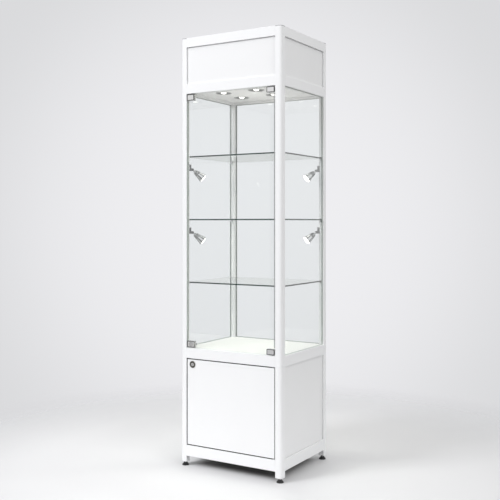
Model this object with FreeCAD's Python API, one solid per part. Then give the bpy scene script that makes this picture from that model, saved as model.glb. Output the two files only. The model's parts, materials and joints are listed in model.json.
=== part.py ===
"""Free-standing glass display cabinet: lit header, three glass shelves, cupboard below.

All sizes are millimetres.  The origin is the middle of the footprint at floor level,
+X is to the right, +Y to the back and +Z up, so that both doors face -Y.
"""
import FreeCAD, Part
import math
import os

Vec = FreeCAD.Vector

# Overall size
width = 535.0
depth = 445.0
post_length = 1960.0
foot_height = 20.0

# Levels above the floor
base_rail_bottom = 48.0
mid_rail_top = 547.5
header_face_height = 171.0
bottom_shelf_share = 0.25330
middle_shelf_share = 0.50234
top_shelf_share = 0.75138

# Extruded frame: posts, rails and the glazing slots in them
post_size = 32.0
post_corner_radius = 15.0
post_inner_chamfer = 7.0
post_edge_radius = 1.0
section_wall = 2.0
base_rail_height = 50.0
mid_rail_height = 47.5
header_rail_height = 44.0
top_rail_height = 43.0
rail_edge_radius = 0.8
board_seat_width = 8.0
ceiling_lip_height = 12.0
glazing_inset = 10.5
slot_width = 8.0
slot_depth = 9.0
cap_thickness = 2.5
cap_plug_depth = 12.0
insert_height = 28.0

# Boards, panels, panes and shelves
board_thickness = 8.0
panel_thickness = 5.0
pane_thickness = 5.0
shelf_thickness = 6.0
shelf_arris = 0.6
shelf_pane_gap = 4.5
shelf_post_gap = 2.0
gasket_reveal = 2.0

# Clearances
fit_gap = 0.3
pocket_gap = 0.2
slot_end_gap = 1.0
running_gap = 0.05
overrun = 1.0

# Shelf supports
support_width = 8.0
support_inset = 16.0
support_reach = 12.0
support_plate = 1.7
support_jaw = 5.0
support_clip = 2.2

# Levelling feet
foot_radius = 15.9
foot_rim_height = 3.5
foot_shoulder_radius = 9.0
foot_shoulder_height = 11.0
foot_neck_radius = 6.5
foot_rim_round = 1.0
foot_shoulder_round = 4.0
foot_stem_radius = 4.0
foot_stem_engagement = 24.0

# Ceiling downlights, their driver and the lead gland
downlight_spacing_x = 178.0
downlight_spacing_y = 162.0
downlight_offset_x = -29.0
downlight_offset_y = -5.0
bezel_radius = 38.0
bezel_flange = 1.6
bezel_mouth_radius = 31.0
bezel_throat_radius = 21.0
bezel_height = 16.0
bezel_wall = 1.2
bezel_edge_round = 0.6
downlight_hole_radius = 33.5
lamp_rim_radius = 22.2
lamp_rim_height = 2.5
lamp_cap_radius = 9.0
lamp_shoulder_height = 20.0
lamp_height = 34.0
lamp_dome_radius = 16.0
lamp_dome_reach = 2.0
lamp_dome_round = 13.0
driver_length = 150.0
driver_width = 58.0
driver_height = 32.0
driver_round = 4.0
driver_lug = 12.0
driver_lug_thickness = 3.0
driver_screw_radius = 2.2
gland_post_distance = 55.5
gland_rise = 45.0
gland_bore_radius = 4.0
gland_thread_radius = 7.0
gland_flange_radius = 12.0
gland_flange_height = 4.0
gland_flange_round = 2.0

# Spotlights on the inner corners of two posts
spot_drop = 60.0
spot_tilt_down = 38.0
spot_housing_depth = 9.0
spot_housing_height = 30.0
spot_housing_round = 3.0
spot_pivot_reach = 15.5
spot_ear_gap = 6.4
spot_ear_thickness = 2.0
spot_ear_radius = 6.0
spot_pin_radius = 2.0
spot_knuckle_radius = 5.5
spot_knuckle_width = 6.0
spot_neck_radius = 2.8
spot_collar_start = 8.0
spot_collar_radius = 4.6
spot_bell_start = 12.0
spot_bell_end = 62.0
spot_bell_back_radius = 8.0
spot_bell_front_radius = 21.0
spot_bell_wall = 1.2
spot_rim_width = 2.0
spot_rim_proud = 0.8
spot_back_round = 2.0
spot_lamp_back = 20.0
spot_lamp_face = 58.0
spot_lens_reach = 4.0
spot_lens_round = 7.5

# Glass door
glass_door_recess = 6.0
glass_door_side_gap = 3.5
glass_door_end_gap = 3.0
fitting_thickness = 16.0
fitting_round = 3.0
fitting_edge = 0.7
clamp_length = 40.0
clamp_height = 26.0
clamp_core_length = 20.0
clamp_core_height = 14.0
pivot_edge_distance = 10.0
pivot_pin_radius = 4.0
pivot_pin_engagement = 11.0
pivot_bore_depth = 12.0
pivot_flange_radius = 6.5
lock_plate_length = 42.0
lock_plate_height = 30.0
lock_barrel_radius = 9.5
lock_barrel_hole_gap = 1.0
glass_plug_radius = 6.0
catch_clip_length = 40.0
catch_clip_height = 29.0
catch_web = 1.5
magnet_length = 30.0
magnet_depth = 11.0
magnet_height = 16.0
magnet_inset = 4.0
magnet_round = 1.5
seal_lip_width = 5.5
seal_lip_thickness = 1.4
seal_foot_depth = 7.0
seal_lip_clear = 3.0

# Cupboard door
cupboard_door_recess = 2.0
cupboard_door_thickness = 16.0
cupboard_door_gap = 2.5
border_width = 14.0
channel_wall = 1.5
hinge_pin_radius = 3.0
hinge_pin_inset = 8.0
hinge_pin_setback = 6.0
hinge_pin_seat = 10.0
hinge_pin_engagement = 6.0
hinge_collar_radius = 5.0
cupboard_lock_side_inset = 31.0
cupboard_lock_top_inset = 25.0
cupboard_rosette_radius = 16.5
cupboard_rosette_edge = 0.8
cupboard_plug_radius = 6.5
lock_nut_radius = 13.0
lock_nut_thickness = 2.5

# Lock cams and keyways
cam_gap = 0.5
cam_thickness = 2.5
cam_half_width = 5.0
cam_engagement = 6.5
keyway_width = 1.4
keyway_height = 7.0
keyway_depth = 6.0
strike_margin = 1.5

# Places worked out from the sizes above
frame_top = foot_height + post_length
top_rail_bottom = frame_top - top_rail_height
header_rail_top = top_rail_bottom - header_face_height
header_bottom = header_rail_top - header_rail_height
base_rail_top = base_rail_bottom + base_rail_height
mid_rail_bottom = mid_rail_top - mid_rail_height
ceiling_bottom = header_bottom + ceiling_lip_height
ceiling_top = ceiling_bottom + board_thickness
span_x = width - 2 * post_size
span_y = depth - 2 * post_size
display_height = header_bottom - mid_rail_top
shelf_bottoms = {
    "bottom": mid_rail_top + bottom_shelf_share * display_height,
    "middle": mid_rail_top + middle_shelf_share * display_height,
    "top": mid_rail_top + top_shelf_share * display_height,
}

SIDES = {
    "front": (0, Vec(0, -depth / 2, 0), span_x),
    "right": (90, Vec(width / 2, 0, 0), span_y),
    "rear": (180, Vec(0, depth / 2, 0), span_x),
    "left": (270, Vec(-width / 2, 0, 0), span_y),
}
CORNERS = {
    "front_left": (0, Vec(-width / 2, -depth / 2, 0)),
    "front_right": (90, Vec(width / 2, -depth / 2, 0)),
    "rear_right": (180, Vec(width / 2, depth / 2, 0)),
    "rear_left": (270, Vec(-width / 2, depth / 2, 0)),
}


# Outlines and solids

def rect(x0, x1, y0, y1, radius=0.0):
    """Corners (x, y, radius) of a rectangle."""
    return [(x0, y0, radius), (x1, y0, radius), (x1, y1, radius), (x0, y1, radius)]


def rounded_wire(corners):
    """Closed wire in the XY plane through (x, y, radius) corners, each one rounded."""
    bends = []
    for index, (x, y, radius) in enumerate(corners):
        here = Vec(x, y, 0)
        last = corners[index - 1]
        following = corners[(index + 1) % len(corners)]
        back = (Vec(last[0], last[1], 0) - here).normalize()
        on = (Vec(following[0], following[1], 0) - here).normalize()
        if radius <= 0:
            bends.append((here, None, here))
            continue
        half = back.getAngle(on) / 2
        reach = radius / math.tan(half)
        inward = (back + on).normalize()
        middle = here + inward * (radius / math.sin(half) - radius)
        bends.append((here + back * reach, middle, here + on * reach))
    edges = []
    for index, (start, middle, end) in enumerate(bends):
        if middle is not None:
            edges.append(Part.Arc(start, middle, end).toShape())
        target = bends[(index + 1) % len(bends)][0]
        if end.distanceToPoint(target) > rail_edge_radius / 1000:
            edges.append(Part.LineSegment(end, target).toShape())
    return Part.Wire(edges)


def flat(corners):
    return Part.Face(rounded_wire(corners))


def slab_xy(corners, z0, z1):
    """Outline in plan, between two heights."""
    solid = flat(corners).extrude(Vec(0, 0, z1 - z0))
    solid.translate(Vec(0, 0, z0))
    return solid


def slab_xz(corners, y0, y1):
    """Outline seen from the front, between two depths."""
    solid = flat(corners).extrude(Vec(0, 0, y1 - y0))
    solid.rotate(Vec(0, 0, 0), Vec(1, 0, 0), 90)
    solid.translate(Vec(0, y1, 0))
    return solid


def slab_yz(corners, x0, x1):
    """Outline seen along X, between two places on X."""
    solid = flat(corners).extrude(Vec(0, 0, x1 - x0))
    solid.rotate(Vec(0, 0, 0), Vec(1, 1, 1), 120)
    solid.translate(Vec(x0, 0, 0))
    return solid


def block(x0, x1, y0, y1, z0, z1):
    return Part.makeBox(x1 - x0, y1 - y0, z1 - z0, Vec(x0, y0, z0))


def turned(corners):
    """Solid of revolution about Z from (radius, height, rounding) corners."""
    face = flat(corners)
    face.rotate(Vec(0, 0, 0), Vec(1, 0, 0), 90)
    return face.revolve(Vec(0, 0, 0), Vec(0, 0, 1), 360)


def rod(radius, x, z, y0, y1):
    """Round bar along Y."""
    return Part.makeCylinder(radius, y1 - y0, Vec(x, y0, z), Vec(0, 1, 0))


def moved(shape, x=0, y=0, z=0):
    copy = shape.copy()
    copy.translate(Vec(x, y, z))
    return copy


def upended(shape, z_middle):
    """Mirror image above a level plane, for the fitting at the other end of a door."""
    return shape.mirror(Vec(0, 0, z_middle), Vec(0, 0, 1))


def group(solids):
    return Part.makeCompound(list(solids))


def on_side(shape, side):
    """From a wall's own frame (x along it, y inwards from its outer face) to its side."""
    angle, place, _ = SIDES[side]
    copy = shape.copy()
    copy.rotate(Vec(0, 0, 0), Vec(0, 0, 1), angle)
    copy.translate(place)
    return copy


def on_corner(shape, corner):
    """From a post's own frame (x and y inwards from its outer corner) to its corner."""
    angle, place = CORNERS[corner]
    copy = shape.copy()
    copy.rotate(Vec(0, 0, 0), Vec(0, 0, 1), angle)
    copy.translate(place)
    return copy


# Frame

def post_outline():
    near = post_size - post_inner_chamfer
    return [
        (0, 0, post_corner_radius),
        (post_size, 0, post_edge_radius),
        (post_size, near, 0),
        (near, post_size, 0),
        (0, post_size, post_edge_radius),
    ]


def post_chamber(z0, z1, gap=0.0):
    """Hollow core of a post, or a plug that fills it with the given gap."""
    inset = section_wall + gap
    far = post_size - inset
    near = post_size - post_inner_chamfer - inset * (math.sqrt(2) - 1)
    corners = [
        (inset, inset, post_corner_radius - inset),
        (far, inset, 0),
        (far, near, 0),
        (near, far, 0),
        (inset, far, 0),
    ]
    slot_back = post_size - slot_depth - inset
    slot_side = glazing_inset + slot_width / 2 + inset
    core = slab_xy(corners, z0, z1)
    low, high = z0 - overrun, z1 + overrun
    return core.cut([
        block(slot_back, post_size, -overrun, slot_side, low, high),
        block(-overrun, slot_side, slot_back, post_size, low, high),
    ])


def post():
    z0, z1 = foot_height, frame_top - cap_thickness
    low, high = z0 - overrun, z1 + overrun
    slot_back = post_size - slot_depth
    slot_far = post_size + overrun
    near, far = glazing_inset - slot_width / 2, glazing_inset + slot_width / 2
    return slab_xy(post_outline(), z0, z1).cut([
        block(slot_back, slot_far, near, far, low, high),
        block(near, far, slot_back, slot_far, low, high),
        post_chamber(low, high),
    ])


def post_cap():
    z0 = frame_top - cap_thickness
    plug = post_chamber(z0 - cap_plug_depth, z0, pocket_gap)
    return slab_xy(post_outline(), z0, frame_top).fuse(plug)


def foot_insert():
    plug = post_chamber(foot_height, foot_height + insert_height, pocket_gap)
    middle = post_size / 2
    start = Vec(middle, middle, foot_height - overrun)
    bore = Part.makeCylinder(foot_stem_radius + running_gap, insert_height + 2 * overrun, start)
    return plug.cut(bore)


def levelling_foot():
    neck_top = foot_height - fit_gap
    stem_top = foot_height + foot_stem_engagement
    foot = turned([
        (0, 0, 0),
        (foot_radius, 0, 0),
        (foot_radius, foot_rim_height, foot_rim_round),
        (foot_shoulder_radius, foot_shoulder_height, foot_shoulder_round),
        (foot_neck_radius, neck_top, 0),
        (foot_stem_radius, neck_top, 0),
        (foot_stem_radius, stem_top, 0),
        (0, stem_top, 0),
    ])
    return moved(foot, post_size / 2, post_size / 2)


def rail(span, bottom, height, ledge, slots):
    """Hollow rail in a wall's frame; ledge is the height of the inner seat for a board."""
    seat = post_size - board_seat_width
    outer = [
        (0, bottom, rail_edge_radius),
        (post_size, bottom, 0),
        (post_size, bottom + ledge, 0),
        (seat, bottom + ledge, 0),
        (seat, bottom + height, 0),
        (0, bottom + height, rail_edge_radius),
    ]
    inner = [
        (section_wall, bottom + section_wall, 0),
        (post_size - section_wall, bottom + section_wall, 0),
        (post_size - section_wall, bottom + ledge - section_wall, 0),
        (seat - section_wall, bottom + ledge - section_wall, 0),
        (seat - section_wall, bottom + height - section_wall, 0),
        (section_wall, bottom + height - section_wall, 0),
    ]
    end = span / 2
    near, far = glazing_inset - slot_width / 2, glazing_inset + slot_width / 2
    beyond = end + overrun
    chamber = slab_yz(inner, -beyond, beyond)
    cuts = []
    for slot in slots:
        if slot == "top":
            mouth, floor = bottom + height + overrun, bottom + height - slot_depth
            wall_end = floor - section_wall
        else:
            mouth, floor = bottom - overrun, bottom + slot_depth
            wall_end = floor + section_wall
        cuts.append(block(-beyond, beyond, near, far, min(mouth, floor), max(mouth, floor)))
        keep = block(
            -beyond - overrun, beyond + overrun, 0, far + section_wall,
            min(mouth, wall_end), max(mouth, wall_end))
        chamber = chamber.cut(keep)
    return slab_yz(outer, -end, end).cut(cuts + [chamber])


RAIL_LEVELS = {
    "base": (base_rail_bottom, base_rail_height, base_rail_height - board_thickness),
    "mid": (mid_rail_bottom, mid_rail_height, mid_rail_height - board_thickness),
    "header": (header_bottom, header_rail_height, ceiling_lip_height),
    "top": (top_rail_bottom, top_rail_height, top_rail_height - board_thickness),
}


def rail_at(level, side, slots):
    bottom, height, ledge = RAIL_LEVELS[level]
    return rail(SIDES[side][2], bottom, height, ledge, slots)


def side_pair(make):
    """The same piece on the left and on the right wall."""
    return group(on_side(make, side) for side in ("left", "right"))


def strike_slot(lock_x, drop, reach, y, z):
    """Slot through a rail wall at height z for a cam that swings in from the right."""
    sweep = math.sqrt((reach + cam_half_width) ** 2 - drop ** 2)
    x0 = lock_x - cam_half_width - strike_margin
    return block(
        x0, lock_x + sweep + strike_margin, y - strike_margin / 2, y + cam_thickness + strike_margin / 2,
        z - section_wall - overrun, z + section_wall + overrun)


# Boards, panels, panes and shelves

def notched_board(bottom):
    """Board that lies on the inner seats of four rails, cut out round the posts."""
    edge = post_size - board_seat_width + fit_gap
    x, y = width / 2 - edge, depth / 2 - edge
    board = block(-x, x, -y, y, bottom, bottom + board_thickness)
    notch = post_size + fit_gap
    tool = block(-overrun, notch, -overrun, notch, bottom - overrun, bottom + board_thickness + overrun)
    return board.cut([on_corner(tool, corner) for corner in CORNERS])


def downlight_places():
    return [
        (downlight_offset_x + x, downlight_offset_y + y)
        for x in (-downlight_spacing_x / 2, downlight_spacing_x / 2)
        for y in (-downlight_spacing_y / 2, downlight_spacing_y / 2)
    ]


def ceiling_panel():
    through = board_thickness + 2 * overrun
    holes = [
        Part.makeCylinder(downlight_hole_radius, through, Vec(x, y, ceiling_bottom - overrun))
        for x, y in downlight_places()
    ]
    return notched_board(ceiling_bottom).cut(holes)


def slotted_sheet(span, low, high, thickness):
    """Panel or pane that stands in the lower slot and enters those of two posts and the rail above."""
    tongue = slot_depth - slot_end_gap
    end = span / 2 + tongue
    y0 = glazing_inset - thickness / 2
    return block(-end, end, y0, y0 + thickness, low - slot_depth + fit_gap, high + tongue)


def gaskets(span):
    """Rubber frames between a pane and the two walls of its slots."""
    tongue = slot_depth - slot_end_gap
    end = span / 2
    thickness = (slot_width - pane_thickness) / 2
    frames = []
    for y0 in (glazing_inset - slot_width / 2, glazing_inset + pane_thickness / 2):
        y1 = y0 + thickness
        outer = block(-end - tongue, end + tongue, y0, y1, mid_rail_top - tongue, header_bottom + tongue)
        opening = block(
            gasket_reveal - end, end - gasket_reveal, y0 - overrun, y1 + overrun,
            mid_rail_top + gasket_reveal, header_bottom - gasket_reveal)
        frames.append(outer.cut(opening))
    return frames


def shelf(bottom):
    x = width / 2 - glazing_inset - pane_thickness / 2 - shelf_pane_gap
    y = depth / 2 - post_size - shelf_post_gap
    sheet = block(-x, x, -y, y, bottom, bottom + shelf_thickness)
    return sheet.makeChamfer(shelf_arris, sheet.Edges)


def shelf_support(bottom):
    """Bracket on a post that grips the corner of a shelf, in a wall's frame at x = 0."""
    face = post_size
    root = face + support_plate
    tip = face + support_reach
    top = bottom + shelf_thickness + pocket_gap
    outline = [
        (face, bottom - pocket_gap - support_jaw, 0),
        (tip, bottom - pocket_gap - support_jaw, support_clip),
        (tip, bottom - pocket_gap, 0),
        (root, bottom - pocket_gap, 0),
        (root, top, 0),
        (tip, top, 0),
        (tip, top + support_clip, support_plate),
        (face, top + support_clip, 0),
    ]
    return slab_yz(outline, -support_width / 2, support_width / 2)


def shelf_supports():
    solids = []
    support_x = width / 2 - support_inset - support_width / 2
    for bottom in shelf_bottoms.values():
        bracket = shelf_support(bottom)
        for x in (-support_x, support_x):
            for side in ("front", "rear"):
                solids.append(on_side(moved(bracket, x), side))
    return group(solids)


# Lighting

def downlight_bezel():
    """Trim ring and reflector cone; height 0 is the underside of the ceiling."""
    return turned([
        (bezel_mouth_radius, -bezel_flange, 0),
        (bezel_radius, -bezel_flange, bezel_edge_round),
        (bezel_radius, 0, 0),
        (bezel_mouth_radius + bezel_wall, 0, 0),
        (bezel_throat_radius + bezel_wall, bezel_height, 0),
        (bezel_throat_radius, bezel_height, 0),
    ])


def downlight_lamp():
    """Lamp seated on the reflector's throat, whose frosted dome hangs just below the trim ring."""
    low = bezel_height
    dome_low = -bezel_flange - lamp_dome_reach
    return turned([
        (0, dome_low, 0),
        (lamp_dome_radius, dome_low, lamp_dome_round),
        (lamp_dome_radius, low, 0),
        (lamp_rim_radius, low, 0),
        (lamp_rim_radius, low + lamp_rim_height, 0),
        (lamp_cap_radius, low + lamp_shoulder_height, 0),
        (lamp_cap_radius, low + lamp_height, 0),
        (0, low + lamp_height, 0),
    ])


def at_downlights(piece):
    return group(moved(piece, x, y, ceiling_bottom) for x, y in downlight_places())


def lamp_driver():
    half_length, half_width = driver_length / 2, driver_width / 2
    tray_end = half_length + driver_lug
    case = slab_xy(
        rect(-half_length, half_length, -half_width, half_width, driver_round),
        ceiling_top, ceiling_top + driver_height)
    tray = slab_xy(
        rect(-tray_end, tray_end, -half_width, half_width, driver_round),
        ceiling_top, ceiling_top + driver_lug_thickness)
    holes = [
        Part.makeCylinder(
            driver_screw_radius, driver_lug_thickness + 2 * overrun,
            Vec(x, 0, ceiling_top - overrun))
        for x in (-half_length - driver_lug / 2, half_length + driver_lug / 2)
    ]
    return case.fuse(tray).cut(holes).removeSplitter()


def at_gland(piece):
    """From a frame with the header panel's outer face at height 0 to the rear wall."""
    copy = piece.copy()
    copy.rotate(Vec(0, 0, 0), Vec(1, 0, 0), 90)
    gland_x = span_x / 2 - gland_post_distance
    copy.translate(Vec(gland_x, glazing_inset - panel_thickness / 2, header_rail_top + gland_rise))
    return on_side(copy, "rear")


def gland_hole():
    length = panel_thickness + 2 * overrun
    return at_gland(Part.makeCylinder(gland_thread_radius, length, Vec(0, 0, overrun - length)))


def cable_gland():
    """Grommet with a flange on each face of the rear header panel."""
    inside = -panel_thickness
    gland = turned([
        (gland_bore_radius, inside - gland_flange_height, 0),
        (gland_flange_radius, inside - gland_flange_height, gland_flange_round),
        (gland_flange_radius, inside, 0),
        (gland_thread_radius, inside, 0),
        (gland_thread_radius, 0, 0),
        (gland_flange_radius, 0, 0),
        (gland_flange_radius, gland_flange_height, gland_flange_round),
        (gland_bore_radius, gland_flange_height, 0),
    ])
    return at_gland(gland)


SPOTLIGHTS = {
    "front_upper": ("front_left", "top"),
    "front_lower": ("front_left", "middle"),
    "rear_upper": ("rear_right", "top"),
    "rear_lower": ("rear_right", "middle"),
}


def at_spotlight(shape, name):
    """From a spotlight's frame (x out of the post's inner chamfer, z up) to its place."""
    corner, shelf_above = SPOTLIGHTS[name]
    seat = post_size - post_inner_chamfer / 2
    level = shelf_bottoms[shelf_above] + shelf_thickness / 2 - spot_drop
    copy = shape.copy()
    copy.rotate(Vec(0, 0, 0), Vec(0, 0, 1), 45)
    copy.translate(Vec(seat, seat, level))
    return on_corner(copy, corner)


def spotlight_mount():
    """Small housing on the post, with two ears and a pin at its lower end for the head."""
    half_width = spot_ear_gap / 2 + spot_ear_thickness
    housing = slab_yz(
        rect(-half_width, half_width, -spot_ear_radius, spot_housing_height - spot_ear_radius,
             spot_housing_round),
        0, spot_housing_depth)
    ear_end = spot_pivot_reach + spot_ear_radius
    ear_outline = [
        (0, -spot_ear_radius, 0),
        (ear_end, -spot_ear_radius, spot_knuckle_radius),
        (ear_end, spot_ear_radius, spot_knuckle_radius),
        (0, spot_ear_radius, 0),
    ]
    ears = [
        slab_xz(ear_outline, spot_ear_gap / 2, half_width),
        slab_xz(ear_outline, -half_width, -spot_ear_gap / 2),
    ]
    pin = rod(spot_pin_radius, spot_pivot_reach, 0, -half_width, half_width)
    return housing.fuse(ears + [pin]).removeSplitter()


def aimed(shape):
    """From a frame with the pivot at 0 and the beam along +Z to the spotlight's frame."""
    copy = shape.copy()
    copy.rotate(Vec(0, 0, 0), Vec(0, 1, 0), 90 + spot_tilt_down)
    copy.translate(Vec(spot_pivot_reach, 0, 0))
    return copy


def bell_radius(height):
    share = (height - spot_bell_start) / (spot_bell_end - spot_bell_start)
    return spot_bell_back_radius + share * (spot_bell_front_radius - spot_bell_back_radius)


def spotlight_head():
    """Knuckle, neck and flared bell with a rolled rim."""
    rim_start = spot_bell_end - spot_rim_width
    inner_start = spot_bell_start + spot_bell_wall
    bell = turned([
        (0, spot_collar_start, 0),
        (spot_collar_radius, spot_collar_start, spot_bell_wall),
        (spot_collar_radius, spot_bell_start, 0),
        (spot_bell_back_radius, spot_bell_start, spot_back_round),
        (bell_radius(rim_start), rim_start, 0),
        (bell_radius(rim_start) + spot_rim_proud, rim_start, 0),
        (spot_bell_front_radius + spot_rim_proud, spot_bell_end, 0),
        (spot_bell_front_radius - spot_bell_wall, spot_bell_end, 0),
        (bell_radius(inner_start) - spot_bell_wall, inner_start, 0),
        (0, inner_start, 0),
    ])
    neck = Part.makeCylinder(spot_neck_radius, spot_collar_start + spot_bell_wall)
    knuckle = rod(spot_knuckle_radius, 0, 0, -spot_knuckle_width / 2, spot_knuckle_width / 2)
    bore = rod(spot_pin_radius + running_gap, 0, 0, -spot_knuckle_width, spot_knuckle_width)
    return aimed(bell.fuse([neck, knuckle]).cut(bore).removeSplitter())


def spotlight_lamp():
    """Lamp that fills the bell, with a domed lens that stands out of the rim."""
    face = bell_radius(spot_lamp_face) - spot_bell_wall - pocket_gap
    back = bell_radius(spot_lamp_back) - spot_bell_wall - pocket_gap
    lens_end = spot_bell_end + spot_lens_reach
    lamp = turned([
        (0, spot_lamp_back, 0),
        (back, spot_lamp_back, 0),
        (face, spot_lamp_face, 0),
        (face, lens_end, spot_lens_round),
        (0, lens_end, 0),
    ])
    return aimed(lamp)


# Glass door, in the front wall's frame

door_left = glass_door_side_gap - span_x / 2
door_right = span_x / 2 - glass_door_side_gap
door_bottom = mid_rail_top + glass_door_end_gap
door_top = header_bottom - glass_door_end_gap
door_middle = (door_bottom + door_top) / 2
pane_back = glass_door_recess + pane_thickness
pivot_x = door_right - pivot_edge_distance
pivot_y = glass_door_recess + pane_thickness / 2
fitting_front = pivot_y - fitting_thickness / 2
fitting_back = pivot_y + fitting_thickness / 2
glass_lock_x = door_left + lock_plate_length / 2
glass_lock_z = door_bottom + lock_plate_height / 2
glass_cam_front = fitting_back + cam_gap
glass_cam_reach = glass_lock_z - mid_rail_top + cam_engagement


def glass_door_pane():
    pane = block(door_left, door_right, glass_door_recess, pane_back, door_bottom, door_top)
    x0 = door_right - clamp_core_length - pocket_gap
    height = clamp_core_height + pocket_gap
    low, high = glass_door_recess - overrun, pane_back + overrun
    return pane.cut([
        block(x0, door_right + overrun, low, high, door_bottom - overrun, door_bottom + height),
        block(x0, door_right + overrun, low, high, door_top - height, door_top + overrun),
        rod(lock_barrel_radius + lock_barrel_hole_gap, glass_lock_x, glass_lock_z, low, high),
    ])


def front_bevelled(solid, size):
    """The same solid with its front outline bevelled."""
    front = solid.BoundBox.YMin
    tolerance = size / 1000
    edges = [edge for edge in solid.Edges if edge.BoundBox.YMax < front + tolerance]
    return solid.makeChamfer(size, edges)


def fitting_plate(x0, x1, z0, z1):
    """Rounded block over the edge of the door pane, bevelled on its face."""
    plate = slab_xz(rect(x0, x1, z0, z1, fitting_round), fitting_front, fitting_back)
    return front_bevelled(plate, fitting_edge)


def pane_pocket(x0, x1, z0, z1):
    return block(x0, x1, glass_door_recess - pocket_gap / 2, pane_back + pocket_gap / 2, z0, z1)


def glass_door_clamp():
    """Lower clamp: two cheeks on the pane, and a core with the bore for the pivot pin."""
    x0 = door_right - clamp_length
    z1 = door_bottom + clamp_height
    body = fitting_plate(x0, door_right, door_bottom, z1)
    pocket = pane_pocket(x0 - overrun, door_right + overrun, door_bottom - overrun, z1 + overrun)
    core = block(
        door_right - clamp_core_length, door_right + 2 * overrun, 0, post_size, door_bottom - 2 * overrun,
        door_bottom + clamp_core_height)
    bore_start = Vec(pivot_x, pivot_y, door_bottom - overrun)
    bore = Part.makeCylinder(pivot_pin_radius + running_gap, pivot_bore_depth + overrun, bore_start)
    return body.cut(pocket.cut(core)).cut(bore)


def glass_door_pivot():
    """Lower pivot: a washer on the rail and the pin that enters the clamp."""
    washer = glass_door_end_gap - fit_gap
    tip = glass_door_end_gap + pivot_pin_engagement
    pivot = turned([
        (0, 0, 0),
        (pivot_flange_radius, 0, 0),
        (pivot_flange_radius, washer, 0),
        (pivot_pin_radius, washer, 0),
        (pivot_pin_radius, tip, 0),
        (0, tip, 0),
    ])
    return moved(pivot, pivot_x, pivot_y, mid_rail_top)


def lower_and_upper(piece):
    return group([piece, upended(piece, door_middle)])


def glass_lock_case():
    """Front plate with its barrel, and the back plate that holds it on the pane."""
    x1, z1 = door_left + lock_plate_length, door_bottom + lock_plate_height
    plate = fitting_plate(door_left, x1, door_bottom, z1)
    cut_from = glass_door_recess - pocket_gap / 2
    cut_to = pane_back + pocket_gap / 2
    around = overrun + lock_plate_length
    front = plate.cut(block(-span_x, span_x, cut_from, fitting_back + overrun, 0, frame_top))
    back = plate.cut(block(-span_x, span_x, fitting_front - overrun, cut_to, 0, frame_top))
    barrel = rod(lock_barrel_radius, glass_lock_x, glass_lock_z, fitting_front + fitting_edge, fitting_back)
    bore = rod(
        glass_plug_radius + running_gap, glass_lock_x, glass_lock_z,
        fitting_front - around, fitting_back + around)
    return group([front.fuse(barrel).removeSplitter().cut(bore), back.cut(barrel)])


def lock_plug(x, z, radius, front, cam_front, cam_reach):
    """Turning core with a keyway in front and a cam at the back that points to +X."""
    core = rod(radius, x, z, front, cam_front)
    keyway = block(
        x - keyway_width / 2, x + keyway_width / 2, front - overrun, front + keyway_depth,
        z - keyway_height / 2, z + keyway_height / 2)
    cam = slab_xz(
        rect(x - cam_half_width, x + cam_reach, z - cam_half_width, z + cam_half_width,
             cam_half_width - strike_margin),
        cam_front, cam_front + cam_thickness)
    return core.cut(keyway).fuse(cam).removeSplitter()


def catch_clip():
    x0, x1 = door_left - catch_web, door_left - catch_web + catch_clip_length
    z0 = door_top - catch_clip_height
    body = fitting_plate(x0, x1, z0, door_top)
    return body.cut(pane_pocket(door_left, x1 + overrun, z0 - overrun, door_top + overrun))


def catch_magnet():
    x0 = door_left + magnet_inset
    y0 = fitting_back + fit_gap
    case = slab_xy(
        rect(x0, x0 + magnet_length, y0, y0 + magnet_depth, magnet_round), header_bottom - magnet_height,
        header_bottom)
    return case


def door_seal_strips():
    """Slot covers on both posts; the left one has the lip that the pane closes on."""
    foot_front = glazing_inset - slot_width / 2 + fit_gap
    foot_back = glazing_inset + slot_width / 2 - fit_gap
    low, high = mid_rail_top + fit_gap, header_bottom - fit_gap
    post_face = span_x / 2
    left = block(-post_face - seal_foot_depth, -post_face, foot_front, foot_back, low, high)
    right = block(post_face, post_face + seal_foot_depth, foot_front, foot_back, low, high)
    lip_front = pane_back + fit_gap
    lip_low = door_bottom + lock_plate_height + seal_lip_clear
    lip_high = door_top - catch_clip_height - seal_lip_clear
    lip = block(
        -post_face - fit_gap, seal_lip_width - post_face,
        lip_front, lip_front + seal_lip_thickness, lip_low, lip_high)
    return group([left.fuse(lip).removeSplitter(), right])


# Cupboard door, in the front wall's frame

cup_left = cupboard_door_gap - span_x / 2
cup_right = span_x / 2 - cupboard_door_gap
cup_bottom = base_rail_top + cupboard_door_gap
cup_top = mid_rail_bottom - cupboard_door_gap
cup_middle = (cup_bottom + cup_top) / 2
cup_front = cupboard_door_recess
cup_back = cupboard_door_recess + cupboard_door_thickness
hinge_x = cup_right - hinge_pin_inset
hinge_y = cup_front + hinge_pin_setback
cup_lock_x = cup_left + cupboard_lock_side_inset
cup_lock_z = cup_top - cupboard_lock_top_inset
cup_cam_front = cup_back + lock_nut_thickness + cam_gap
cup_cam_reach = mid_rail_bottom - cup_lock_z + cam_engagement


def cupboard_hinge_pin():
    """Lower hinge pin, pressed into the door, with the collar that the door stands on."""
    collar = cupboard_door_gap - fit_gap
    pin = turned([
        (0, -hinge_pin_engagement, 0),
        (hinge_pin_radius, -hinge_pin_engagement, 0),
        (hinge_pin_radius, fit_gap, 0),
        (hinge_collar_radius, fit_gap, 0),
        (hinge_collar_radius, fit_gap + collar, 0),
        (hinge_pin_radius, fit_gap + collar, 0),
        (hinge_pin_radius, cupboard_door_gap + hinge_pin_seat, 0),
        (0, cupboard_door_gap + hinge_pin_seat, 0),
    ])
    return moved(pin, hinge_x, hinge_y, base_rail_top)


def cupboard_hinge_pins():
    lower = cupboard_hinge_pin()
    return group([lower, upended(lower, cup_middle)])


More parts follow.
